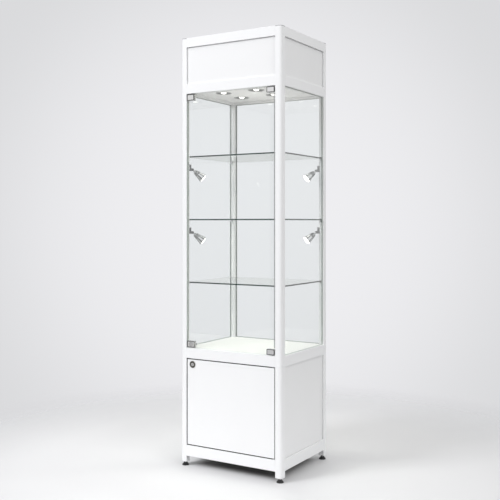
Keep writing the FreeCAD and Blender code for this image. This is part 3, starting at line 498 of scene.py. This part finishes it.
NODE_FINISH = {
    "post_caps": "cap",
    "foot_inserts": "insert",
    "base_rail_front": "coat_long",
    "base_rail_rear": "coat_long",
    "base_rails_side": "coat_side",
    "mid_rail_front": "coat_long",
    "mid_rail_rear": "coat_long",
    "mid_rails_side": "coat_side",
    "header_rail_front": "coat_long",
    "header_rail_rear": "coat_long",
    "header_rails_side": "coat_side",
    "top_rails_long": "coat_long",
    "top_rails_side": "coat_side",
    "header_panels": "board",
    "cupboard_panels": "board",
    "roof_panel": "board",
    "ceiling_panel": "board",
    "display_deck": "deck",
    "cupboard_floor": "board",
    "side_glass_panes": "side_pane",
    "rear_glass_pane": "front_pane",
    "glazing_gaskets": "gasket",
    "shelf_bottom": "shelf",
    "shelf_middle": "shelf",
    "shelf_top": "shelf",
    "shelf_supports": "chrome",
    "downlight_bezels": "bezel",
    "downlight_lamps": "downlight",
    "lamp_driver": "driver",
    "cable_gland": "rubber_and_shade",
    "spotlight_mounts": "satin",
    "glass_door_pane": "front_pane",
    "glass_door_clamps": "chrome",
    "glass_door_pivots": "steel",
    "glass_lock_case": "plate",
    "glass_lock_plug": "chrome",
    "catch_clip": "plate",
    "catch_magnet": "magnet",
    "door_seal_strips": "seal",
    "cupboard_door_panel": "door_board",
    "cupboard_door_frame": "coat_upright",
    "cupboard_hinge_pins": "steel",
    "cupboard_lock_case": "rosette",
    "cupboard_lock_plug": "chrome",
}
for corner in CORNERS:
    NODE_FINISH["post_" + corner] = "coat_upright"
    NODE_FINISH["levelling_foot_" + corner] = "foot"
for spot in SPOTLIGHTS:
    NODE_FINISH["spotlight_head_" + spot] = "chrome"
    NODE_FINISH["spotlight_lamp_" + spot] = "spot_lamp"


def finish_cad_nodes():
    for name, cad_object in cad_nodes.items():
        finish = FINISHES[NODE_FINISH[name]]
        if cad_object.material_slots:
            for slot in cad_object.material_slots:
                slot.material = finish
        else:
            cad_object.data.materials.append(finish)


# Small pieces that the metal and glass nodes carry

WELD_DISTANCE = 0.001 * MM
ROUND_STEPS = 40
HEXAGON = 6
RIGHTWARDS = Vector((1.0, 0.0, 0.0))
INWARDS = Vector((0.0, 1.0, 0.0))
UPWARDS = Vector((0.0, 0.0, 1.0))


def piece_from(name, mesh_maker, finish, body):
    """Makes a mesh object from a bmesh, seated on a body."""
    mesh = bpy.data.meshes.new(name)
    builder = bmesh.new()
    mesh_maker(builder)
    bmesh.ops.remove_doubles(builder, verts=builder.verts, dist=WELD_DISTANCE)
    bmesh.ops.recalc_face_normals(builder, faces=builder.faces)
    builder.to_mesh(mesh)
    builder.free()
    piece = bpy.data.objects.new(name, mesh)
    bpy.context.scene.collection.objects.link(piece)
    mesh.materials.append(FINISHES[finish])
    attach(piece, body)


def add_ring_profile(builder, profile, place, steps):
    """Turns a closed (radius, height) profile about the Z axis of a placing matrix."""
    rings = []
    for step in range(steps):
        angle = 2 * math.pi * step / steps
        ring = []
        for radius, height in profile:
            point = Vector((radius * math.cos(angle), radius * math.sin(angle), height))
            ring.append(builder.verts.new(place @ point))
        rings.append(ring)
    count = len(profile)
    for step in range(steps):
        here = rings[step]
        following = rings[(step + 1) % steps]
        for index in range(count):
            other = (index + 1) % count
            builder.faces.new([here[index], following[index], following[other], here[other]])


def facing(place, direction):
    """Matrix that puts a piece made along +Z at a place, looking in a direction."""
    turn = Vector(direction).to_track_quat("Z", "Y").to_matrix().to_4x4()
    return Matrix.Translation(Vector(place)) @ turn


SCREW_STEPS = 24
SCREW_TREE_INPUTS = (
    ("Head Radius", 1.6 * MM),
    ("Head Height", 0.5 * MM),
    ("Socket Radius", 0.8 * MM),
    ("Socket Depth", 0.35 * MM),
)


def screw_tree():
    """Round heads with a hexagon socket, one at each point, turned to its facing attribute."""
    tree = bpy.data.node_groups.new("socket_screws", "GeometryNodeTree")
    tree.interface.new_socket("Geometry", in_out="INPUT", socket_type="NodeSocketGeometry")
    for label, default in SCREW_TREE_INPUTS:
        socket = tree.interface.new_socket(label, in_out="INPUT", socket_type="NodeSocketFloat")
        socket.default_value = default
    tree.interface.new_socket("Finish", in_out="INPUT", socket_type="NodeSocketMaterial")
    tree.interface.new_socket("Geometry", in_out="OUTPUT", socket_type="NodeSocketGeometry")
    inside = tree.nodes.new("NodeGroupInput")
    outside = tree.nodes.new("NodeGroupOutput")
    head = add_node(tree, "GeometryNodeMeshCylinder")
    head.inputs["Vertices"].default_value = SCREW_STEPS
    tree.links.new(inside.outputs["Head Radius"], head.inputs["Radius"])
    tree.links.new(inside.outputs["Head Height"], head.inputs["Depth"])
    socket = add_node(tree, "GeometryNodeMeshCylinder")
    socket.inputs["Vertices"].default_value = HEXAGON
    tree.links.new(inside.outputs["Socket Radius"], socket.inputs["Radius"])
    tree.links.new(inside.outputs["Socket Depth"], socket.inputs["Depth"])
    raised = add_node(tree, "GeometryNodeTransform")
    tree.links.new(socket.outputs["Mesh"], raised.inputs["Geometry"])
    lift = add_node(tree, "ShaderNodeCombineXYZ")
    half_height = math_node(tree, "MULTIPLY", inside.outputs["Head Height"], 0.5)
    tree.links.new(half_height, lift.inputs["Z"])
    tree.links.new(lift.outputs["Vector"], raised.inputs["Translation"])
    cut = add_node(tree, "GeometryNodeMeshBoolean", operation="DIFFERENCE")
    tree.links.new(head.outputs["Mesh"], cut.inputs["Mesh 1"])
    tree.links.new(raised.outputs["Geometry"], cut.inputs["Mesh 2"])
    seated = add_node(tree, "GeometryNodeTransform")
    tree.links.new(cut.outputs["Mesh"], seated.inputs["Geometry"])
    tree.links.new(lift.outputs["Vector"], seated.inputs["Translation"])
    direction = add_node(tree, "GeometryNodeInputNamedAttribute", data_type="FLOAT_VECTOR")
    direction.inputs["Name"].default_value = "facing"
    align = add_node(tree, "FunctionNodeAlignRotationToVector", axis="Z")
    tree.links.new(direction.outputs["Attribute"], align.inputs["Vector"])
    instances = add_node(tree, "GeometryNodeInstanceOnPoints")
    tree.links.new(inside.outputs["Geometry"], instances.inputs["Points"])
    tree.links.new(seated.outputs["Geometry"], instances.inputs["Instance"])
    tree.links.new(align.outputs["Rotation"], instances.inputs["Rotation"])
    real = add_node(tree, "GeometryNodeRealizeInstances")
    tree.links.new(instances.outputs["Instances"], real.inputs["Geometry"])
    finish = add_node(tree, "GeometryNodeSetMaterial")
    tree.links.new(real.outputs["Geometry"], finish.inputs["Geometry"])
    tree.links.new(inside.outputs["Finish"], finish.inputs["Material"])
    tree.links.new(finish.outputs["Geometry"], outside.inputs["Geometry"])
    return tree


SCREWS = screw_tree()


def add_screws(name, places, body, scale):
    """Screw heads at (point, direction) places, made one plain mesh that rides a body."""
    seeds = bpy.data.meshes.new(name + "_places")
    seeds.from_pydata([point for point, direction in places], [], [])
    attribute = seeds.attributes.new("facing", "FLOAT_VECTOR", "POINT")
    for index, (point, direction) in enumerate(places):
        attribute.data[index].vector = direction
    carrier = bpy.data.objects.new(name + "_places", seeds)
    bpy.context.scene.collection.objects.link(carrier)
    modifier = carrier.modifiers.new("screws", "NODES")
    modifier.node_group = SCREWS
    for item in SCREWS.interface.items_tree:
        if item.in_out != "INPUT":
            continue
        for label, size in SCREW_TREE_INPUTS:
            if item.name == label:
                modifier[item.identifier] = size * scale
        if item.name == "Finish":
            modifier[item.identifier] = FINISHES["steel"]
    depsgraph = bpy.context.evaluated_depsgraph_get()
    mesh = bpy.data.meshes.new_from_object(carrier.evaluated_get(depsgraph))
    carrier.modifiers.remove(modifier)
    bpy.data.objects.remove(carrier)
    mesh.name = name
    piece = bpy.data.objects.new(name, mesh)
    bpy.context.scene.collection.objects.link(piece)
    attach(piece, body)


def door_fitting_screws():
    """Screws on the back cheeks of the clamps, the lock and the catch of the glass door."""
    clamp_low, clamp_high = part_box("glass_door_clamps")
    lock_low, lock_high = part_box("glass_lock_case")
    clip_low, clip_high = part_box("catch_clip")
    inset = 8 * MM
    pivot_inset = 2.6 * inset
    clamp_level = 2.3 * inset
    lock_inset = 0.7 * inset
    lock_level = lock_high.z - 0.8 * inset
    places = []
    for x in (clamp_low.x + inset, clamp_high.x - pivot_inset):
        for z in (clamp_low.z + clamp_level, clamp_high.z - clamp_level):
            places.append(((x, clamp_high.y, z), INWARDS))
    for x in (lock_low.x + lock_inset, lock_high.x - lock_inset):
        places.append(((x, lock_high.y, lock_level), INWARDS))
    for x in (clip_low.x + inset, clip_high.x - inset):
        places.append(((x, clip_high.y, clip_low.z + inset), INWARDS))
    add_screws("door_fitting_screws", places, "glass_door", scale=1.3)


def bracket_screws():
    """A grub screw in the lower jaw of every shelf bracket."""
    low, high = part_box("shelf_supports")
    half_width = 4 * MM
    reach = 6 * MM
    jaw_depth = 5.2 * MM
    places = []
    for shelf in ("shelf_bottom", "shelf_middle", "shelf_top"):
        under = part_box(shelf)[0].z - jaw_depth
        for x in (low.x + half_width, high.x - half_width):
            for y in (low.y + reach, high.y - reach):
                places.append(((x, y, under), -UPWARDS))
    add_screws("bracket_screws", places, "cabinet", scale=0.9)


def ceiling_screws():
    """A screw near each corner of the ceiling."""
    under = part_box("ceiling_panel")[0].z
    reach_x = 198 * MM
    reach_y = 107 * MM
    places = []
    for x in (-reach_x, reach_x):
        for y in (-reach_y, reach_y):
            places.append(((x, y, under), -UPWARDS))
    add_screws("ceiling_screws", places, "cabinet", scale=1.5)


def magnet_screws():
    """Two screws in the case of the magnet that holds the catch."""
    low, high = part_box("catch_magnet")
    middle = (low + high) / 2
    inset = 5 * MM
    places = []
    for x in (low.x + inset, high.x - inset):
        places.append(((x, middle.y, low.z), -UPWARDS))
    add_screws("magnet_screws", places, "cabinet", scale=1.1)


def driver_screws():
    """Two screws in the flanges of the lamp driver."""
    low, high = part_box("lamp_driver")
    middle = (low + high) / 2
    inset = 6 * MM
    flange = 3 * MM
    places = []
    for x in (low.x + inset, high.x - inset):
        places.append(((x, middle.y, low.z + flange), UPWARDS))
    add_screws("driver_screws", places, "cabinet", scale=1.7)


def foot_nuts():
    """Hexagon nut that turns each levelling foot."""
    across = 8.6 * MM
    bore = 6.0 * MM
    bottom = 12.2 * MM
    top = 17.4 * MM
    chamfer = 0.6 * MM
    profile = [
        (bore, bottom),
        (across - chamfer, bottom),
        (across, bottom + chamfer),
        (across, top - chamfer),
        (across - chamfer, top),
        (bore, top),
    ]
    for corner in CORNERS:
        low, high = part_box("levelling_foot_" + corner)
        centre = (low + high) / 2
        place = Matrix.Translation(Vector((centre.x, centre.y, low.z)))
        piece_from(
            "foot_nut_" + corner,
            lambda builder, place=place: add_ring_profile(builder, profile, place, HEXAGON),
            "steel", "foot_" + corner)


def glass_lock_ring():
    """Turned ring round the core of the glass door's lock."""
    low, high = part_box("glass_lock_case")
    core_low, core_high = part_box("glass_lock_plug")
    radius = (core_high.z - core_low.z) / 2
    centre = ((low.x + high.x) / 2, core_low.y, (core_low.z + core_high.z) / 2)
    inner = radius + 0.3 * MM
    outer = radius + 3.4 * MM
    proud = 0.45 * MM
    sunk = -0.1 * MM
    profile = [
        (inner, sunk),
        (inner + 0.2 * MM, proud),
        (outer - 0.4 * MM, proud),
        (outer, sunk),
    ]
    piece_from(
        "glass_lock_ring",
        lambda builder: add_ring_profile(
            builder, profile, facing(centre, -INWARDS), ROUND_STEPS),
        "dark_satin", "glass_door")


def spotlight_axis(spot):
    """Pivot of a spotlight and the direction of its beam at rest, from its joint."""
    joint = next(item for item in frame["joints"] if item["name"] == "spotlight_tilt_" + spot)
    pivot = Vector(joint["pos_m"])
    level = Vector((-joint["axis"][1], joint["axis"][0], 0.0)).normalized()
    if level.dot(Vector((-pivot.x, -pivot.y, 0.0))) < 0:
        level = -level
    tilt = math.radians(38.0)
    return pivot, level * math.cos(tilt) - UPWARDS * math.sin(tilt)


def spotlight_shade_rings():
    """Dark rings turned round the back of each spotlight's bell: painted shade on the back of the
    bell.
    """
    bell_start = 12.0 * MM
    bell_length = 50.0 * MM
    back_radius = 8.0 * MM
    flare = 13.0 * MM / bell_length
    ring_count = 6
    first_ring = bell_start + 3.6 * MM
    pitch = 3.1 * MM
    ring_width = 1.5 * MM
    proud = 0.9 * MM
    sunk = 0.3 * MM
    for spot in SPOTLIGHTS:
        pivot, beam = spotlight_axis(spot)
        place = facing(pivot, beam)

        def shade_rings(builder, place=place):
            for step in range(ring_count):
                low = first_ring + pitch * step
                high = low + ring_width
                inner = back_radius + flare * (low - bell_start)
                outer = back_radius + flare * (high - bell_start)
                profile = [
                    (inner - sunk, low),
                    (inner + proud, low),
                    (outer + proud, high),
                    (outer - sunk, high),
                ]
                add_ring_profile(builder, profile, place, ROUND_STEPS)

        piece_from(
            "spotlight_shade_rings_" + spot, shade_rings, "dark_satin", "spotlight_" + spot)


def add_strip(builder, profile, start, end, across, out):
    """Draws a closed (across, out) profile in a straight run between two points."""
    ends = []
    for point in (start, end):
        ring = [builder.verts.new(Vector(point) + across * a + out * b) for a, b in profile]
        ends.append(ring)
    first, last = ends
    builder.faces.new(first)
    builder.faces.new(list(reversed(last)))
    for index in range(len(profile)):
        other = (index + 1) % len(profile)
        builder.faces.new([first[index], first[other], last[other], last[index]])


HINGE_CLEARANCE = 14 * MM
SHADE_STRIP_THICKNESS = 0.3 * MM
SHADE_STRIP_TAPER = 0.5 * MM


def cupboard_door_gap_shade():
    """Thin dark strips round the edges of the cupboard door, with a lip on its front: painted
    shade that darkens the gaps round the door.
    """
    low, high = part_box("cupboard_door_frame")
    thin = SHADE_STRIP_THICKNESS
    lip = 2.2 * MM
    stop = 5.0 * MM
    profile = [
        (-thin, thin), (stop, thin), (stop + SHADE_STRIP_TAPER, 0.0), (0.0, 0.0), (0.0, -lip),
        (-thin, -lip),
    ]
    hinge_profile = [(-thin, 0.0), (0.0, 0.0), (0.0, -lip), (-thin, -lip)]
    bend = high.x - HINGE_CLEARANCE

    def strips(builder):
        def strip(shape, start, end, out):
            x0, z0 = start
            x1, z1 = end
            add_strip(builder, shape, (x0, low.y, z0), (x1, low.y, z1), INWARDS, out)

        strip(profile, (low.x, low.z), (low.x, high.z), -RIGHTWARDS)
        strip(hinge_profile, (high.x, low.z), (high.x, high.z), RIGHTWARDS)
        for z, out in ((low.z, -UPWARDS), (high.z, UPWARDS)):
            strip(profile, (low.x, z), (bend, z), out)
            strip(hinge_profile, (bend, z), (high.x, z), out)

    piece_from("cupboard_door_gap_shade", strips, "rubber_and_shade", "cupboard_door")


def glass_door_edge_strip():
    """Grey strip on the front of the glass door along its hinge edge, between the clamps,
    darkening that edge.
    """
    low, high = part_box("glass_door_pane")
    clamp_reach = 30.0 * MM
    inset = 5.0 * MM
    width = 4.0 * MM
    thin = 0.4 * MM
    taper = 0.6 * MM
    profile = [(0.0, 0.0), (0.0, thin), (width - taper, thin), (width, 0.0)]

    def strip(builder):
        x = high.x - inset
        add_strip(
            builder, profile, (x, low.y, low.z + clamp_reach), (x, low.y, high.z - clamp_reach),
            RIGHTWARDS, -INWARDS)

    piece_from("glass_door_edge_strip", strip, "cap", "glass_door")


def add_frame_ring(builder, low, high, border, front, proud):
    """Flat rectangular rim in front of a fitting, between its outline and a border inside it."""
    outer = [(low.x, low.z), (high.x, low.z), (high.x, high.z), (low.x, high.z)]
    inner = [
        (low.x + border, low.z + border), (high.x - border, low.z + border),
        (high.x - border, high.z - border), (low.x + border, high.z - border),
    ]
    loops = []
    for y in (front, front - proud):
        loops.append([builder.verts.new((x, y, z)) for x, z in outer])
        loops.append([builder.verts.new((x, y, z)) for x, z in inner])
    back_outer, back_inner, front_outer, front_inner = loops
    for index in range(4):
        other = (index + 1) % 4
        for a, b in (
                (front_outer, front_inner), (back_inner, back_outer), (back_outer, front_outer),
                (front_inner, back_inner)):
            builder.faces.new([a[index], a[other], b[other], b[index]])


def fitting_rims():
    """Dark raised rims on the plates of the glass door's clamps, catch and lock: painted shade
    that outlines the plates.
    """
    clamp_low, clamp_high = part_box("glass_door_clamps")
    clamp = 26.0 * MM * UPWARDS
    edge = 0.8 * MM
    border = 2.5 * MM
    sunk = 0.05 * MM
    thickness = 0.4 * MM
    plates = {
        "catch_clip_rim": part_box("catch_clip"),
        "glass_lock_rim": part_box("glass_lock_case"),
        "lower_clamp_rim": (clamp_low, Vector((clamp_high.x, clamp_high.y, clamp_low.z)) + clamp),
        "upper_clamp_rim": (Vector((clamp_low.x, clamp_low.y, clamp_high.z)) - clamp, clamp_high),
    }
    inset = Vector((edge, 0.0, edge))
    for name, (low, high) in plates.items():
        piece_from(
            name,
            lambda builder, low=low, high=high: add_frame_ring(
                builder, low + inset, high - inset, border, low.y + sunk, thickness),
            "outline_shade", "glass_door")


def cupboard_opening_shade():
    """Thin dark strips round the cupboard opening, parted where the cam of the lock passes:
    painted shade deep in the gaps round the door.
    """
    post_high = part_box("post_front_left")[1]
    right_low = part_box("post_front_right")[0]
    mid_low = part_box("mid_rail_front")[0]
    base_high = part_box("base_rail_front")[1]
    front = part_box("base_rail_front")[0].y
    x0, x1 = post_high.x, right_low.x
    z0, z1 = base_high.z, mid_low.z
    lock_x = sum(box.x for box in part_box("cupboard_lock_case")) / 2
    cam_clearance = 12 * MM
    left_end = x0 + 1 * MM
    right_end = x1 - HINGE_CLEARANCE

    bead = 0.9 * MM
    back = 22.0 * MM
    bead_back = back - 0.8 * MM
    bead_front = back - 1.8 * MM
    flat_back = back - 2.4 * MM

    def profile(start):
        """Flat strip from a depth behind the rail's front to the bead at its back."""
        return [
            (start, 0.0),
            (start + SHADE_STRIP_TAPER, SHADE_STRIP_THICKNESS),
            (flat_back, SHADE_STRIP_THICKNESS),
            (bead_front, bead),
            (bead_back, bead),
            (back, SHADE_STRIP_THICKNESS),
            (back, 0.0),
        ]

    full = profile(2.5 * MM)
    behind_pin = profile(13.0 * MM)

    def strips(builder):
        def strip(shape, start, end, out):
            ends = ((x, front, z) for x, z in (start, end))
            add_strip(builder, shape, *ends, INWARDS, out)

        strip(full, (x0, z0), (x0, z1), RIGHTWARDS)
        strip(behind_pin, (x1, z0), (x1, z1), -RIGHTWARDS)
        strip(full, (left_end, z1), (lock_x - cam_clearance, z1), -UPWARDS)
        strip(full, (lock_x + cam_clearance, z1), (right_end, z1), -UPWARDS)
        strip(full, (left_end, z0), (right_end, z0), UPWARDS)

    piece_from("cupboard_opening_shade", strips, "rubber_and_shade", "cabinet")


# Lamps' light, camera and studio

WHITE = (1.0, 1.0, 1.0)
WARM = (1.0, 0.965, 0.91)


def add_area_light(
        name, place, aim, size, power, colour=WHITE, shape="SQUARE", spread=180.0):
    """Area light that is not itself seen, neither in polished surfaces nor through glass."""
    data = bpy.data.lights.new(name, "AREA")
    data.shape = shape
    data.size = size
    data.energy = power
    data.color = colour
    data.spread = math.radians(spread)
    light = bpy.data.objects.new(name, data)
    light.visible_camera = False
    light.visible_glossy = False
    light.visible_transmission = False
    light.location = place
    light.rotation_euler = (Vector(aim) - Vector(place)).to_track_quat("-Z", "Y").to_euler()
    bpy.context.scene.collection.objects.link(light)


def lamp_lights():
    """The light that the cabinet's own lamps throw."""
    low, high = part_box("downlight_lamps")
    lamp_radius = 22.2 * MM
    lamp_size = 30 * MM
    lamp_gap = 3 * MM
    shelf_gap = 8 * MM
    shelf_glow_size = 400 * MM
    spotlight_reach = 69 * MM
    for x in (low.x + lamp_radius, high.x - lamp_radius):
        for y in (low.y + lamp_radius, high.y - lamp_radius):
            add_area_light(
                "downlight_beam", (x, y, low.z - lamp_gap), (x, y, 0), lamp_size,
                power=0.75, colour=WARM, shape="DISK", spread=70.0)
    above_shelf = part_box("shelf_top")[1].z + shelf_gap
    add_area_light(
        "shelf_bounce", (0.0, 0.0, above_shelf), (0.0, 0.0, low.z), shelf_glow_size,
        power=0.62, colour=WARM, spread=130.0)
    for spot in SPOTLIGHTS:
        pivot, beam = spotlight_axis(spot)
        start = pivot + beam * spotlight_reach
        add_area_light(
            "spotlight_beam", start, start + beam, lamp_size,
            power=0.08, colour=WARM, shape="DISK", spread=110.0)


VIEW_AZIMUTH = math.radians(31.29)
FLAT_MIRROR_HEADING = math.radians(90.0) - VIEW_AZIMUTH
VIEW_AXIS = Vector((-math.sin(VIEW_AZIMUTH), math.cos(VIEW_AZIMUTH), 0.0))


def add_camera():
    """Level camera at the height of the middle of the glass, looking past the near right post."""
    data = bpy.data.cameras.new("photo_camera")
    data.sensor_width = 36.0
    data.lens = 58.54
    data.shift_y = -0.0550
    camera = bpy.data.objects.new("photo_camera", data)
    camera.location = (1.971, -3.287, 1.127)
    camera.rotation_euler = (math.radians(90.0), 0.0, VIEW_AZIMUTH)
    bpy.context.scene.collection.objects.link(camera)
    bpy.context.scene.camera = camera


def add_world():
    """Pale studio: a glow behind the cabinet, and dark screens seen only in mirrors."""
    world = bpy.data.worlds.new("studio")
    bpy.context.scene.world = world
    world.use_nodes = True
    tree = world.node_tree
    screen_count = 6.0
    plain_tone = (0.705, 0.708, 0.722, 1)
    glow_tone = (0.86, 0.858, 0.88, 1)
    outwards = add_node(tree, "ShaderNodeTexCoord").outputs["Generated"]
    axes = axes_of(tree, outwards)
    glow = vector_node(tree, "DOT_PRODUCT", outwards, VIEW_AXIS)
    glow = range_node(tree, glow, 0.93, 1.0, 0.0, 1.0)
    shown = blend_colour(tree, glow, plain_tone, glow_tone)
    lighting = range_node(tree, axes["Z"], 0.0, 0.75, 0.16, 1.0)
    mirrored = range_node(tree, axes["Z"], -0.45, 0.15, 0.42, 0.84)
    heading = math_node(tree, "ARCTAN2", axes["Y"], axes["X"])
    heading = math_node(tree, "SUBTRACT", heading, FLAT_MIRROR_HEADING)
    screens = math_node(tree, "COSINE", math_node(tree, "MULTIPLY", heading, screen_count))
    screens = range_node(tree, screens, -1.0, -0.1, 0.12, 1.0)
    mirrored = math_node(tree, "MULTIPLY", mirrored, screens)
    path = add_node(tree, "ShaderNodeLightPath")
    colour = blend_colour(tree, path.outputs["Is Diffuse Ray"], shown, lighting)
    reflected = math_node(
        tree, "SUBTRACT", path.outputs["Glossy Depth"], path.outputs["Is Diffuse Ray"], clamp=True)
    colour = blend_colour(tree, reflected, colour, mirrored)
    background = tree.nodes["Background"]
    tree.links.new(colour, background.inputs["Color"])
    background.inputs["Strength"].default_value = 1.0


def add_floor():
    """Pale floor disc whose rim fades into the studio, dark right under the cabinet."""
    radius = 2.6
    fade_start, fade_end = 1.0, 2.0
    shadow_full, shadow_end = -0.10, -0.015
    mesh = bpy.data.meshes.new("floor")
    builder = bmesh.new()
    bmesh.ops.create_circle(builder, cap_ends=True, segments=128, radius=radius)
    builder.to_mesh(mesh)
    builder.free()
    floor = bpy.data.objects.new("floor", mesh)
    bpy.context.scene.collection.objects.link(floor)
    material, tree, shader = new_material("studio_floor")
    place = object_coordinates(tree)
    axes = axes_of(tree, place)
    fade = range_node(tree, vector_node(tree, "LENGTH", place), fade_start, fade_end, 1.0, 0.0)
    beside = math_node(tree, "SUBTRACT", math_node(tree, "ABSOLUTE", axes["X"]), cad_high.x)
    before = math_node(tree, "SUBTRACT", math_node(tree, "ABSOLUTE", axes["Y"]), cad_high.y)
    outside = math_node(tree, "MAXIMUM", beside, before)
    under = range_node(tree, outside, shadow_full, shadow_end, 1.0, 0.0)
    rim_tone = (0.60, 0.60, 0.61, 1)
    middle_tone = (0.695, 0.695, 0.70, 1)
    shadow_tone = (0.10, 0.095, 0.09, 1)
    tone = blend_colour(tree, fade, rim_tone, middle_tone)
    tone = blend_colour(tree, under, tone, shadow_tone)
    tree.links.new(tone, shader.inputs["Base Color"])
    tree.links.new(fade, shader.inputs["Alpha"])
    shader.inputs["Roughness"].default_value = 0.6
    mesh.materials.append(material)


def add_studio_lights():
    """Cool key light from the front left and a weak fill on the right side."""
    middle = (0.0, 0.0, 1.0)
    upper_part = (0.0, 0.0, 1.6)
    cool = (0.972, 0.977, 1.0)
    add_area_light(
        "key_softbox", (-2.2, -4.0, 3.4), middle, size=1.5, power=160.0, colour=cool)
    add_area_light(
        "fill_softbox", (3.4, -1.4, 2.6), upper_part, size=2.2, power=17.0, spread=100.0)


def set_exposure():
    settings = bpy.context.scene.view_settings
    settings.view_transform = "Standard"
    settings.look = "None"
    settings.exposure = 0.0


finish_cad_nodes()
door_fitting_screws()
bracket_screws()
ceiling_screws()
magnet_screws()
driver_screws()
foot_nuts()
glass_lock_ring()
spotlight_shade_rings()
cupboard_opening_shade()
cupboard_door_gap_shade()
glass_door_edge_strip()
fitting_rims()
lamp_lights()
add_camera()
add_world()
add_floor()
add_studio_lights()
set_exposure()
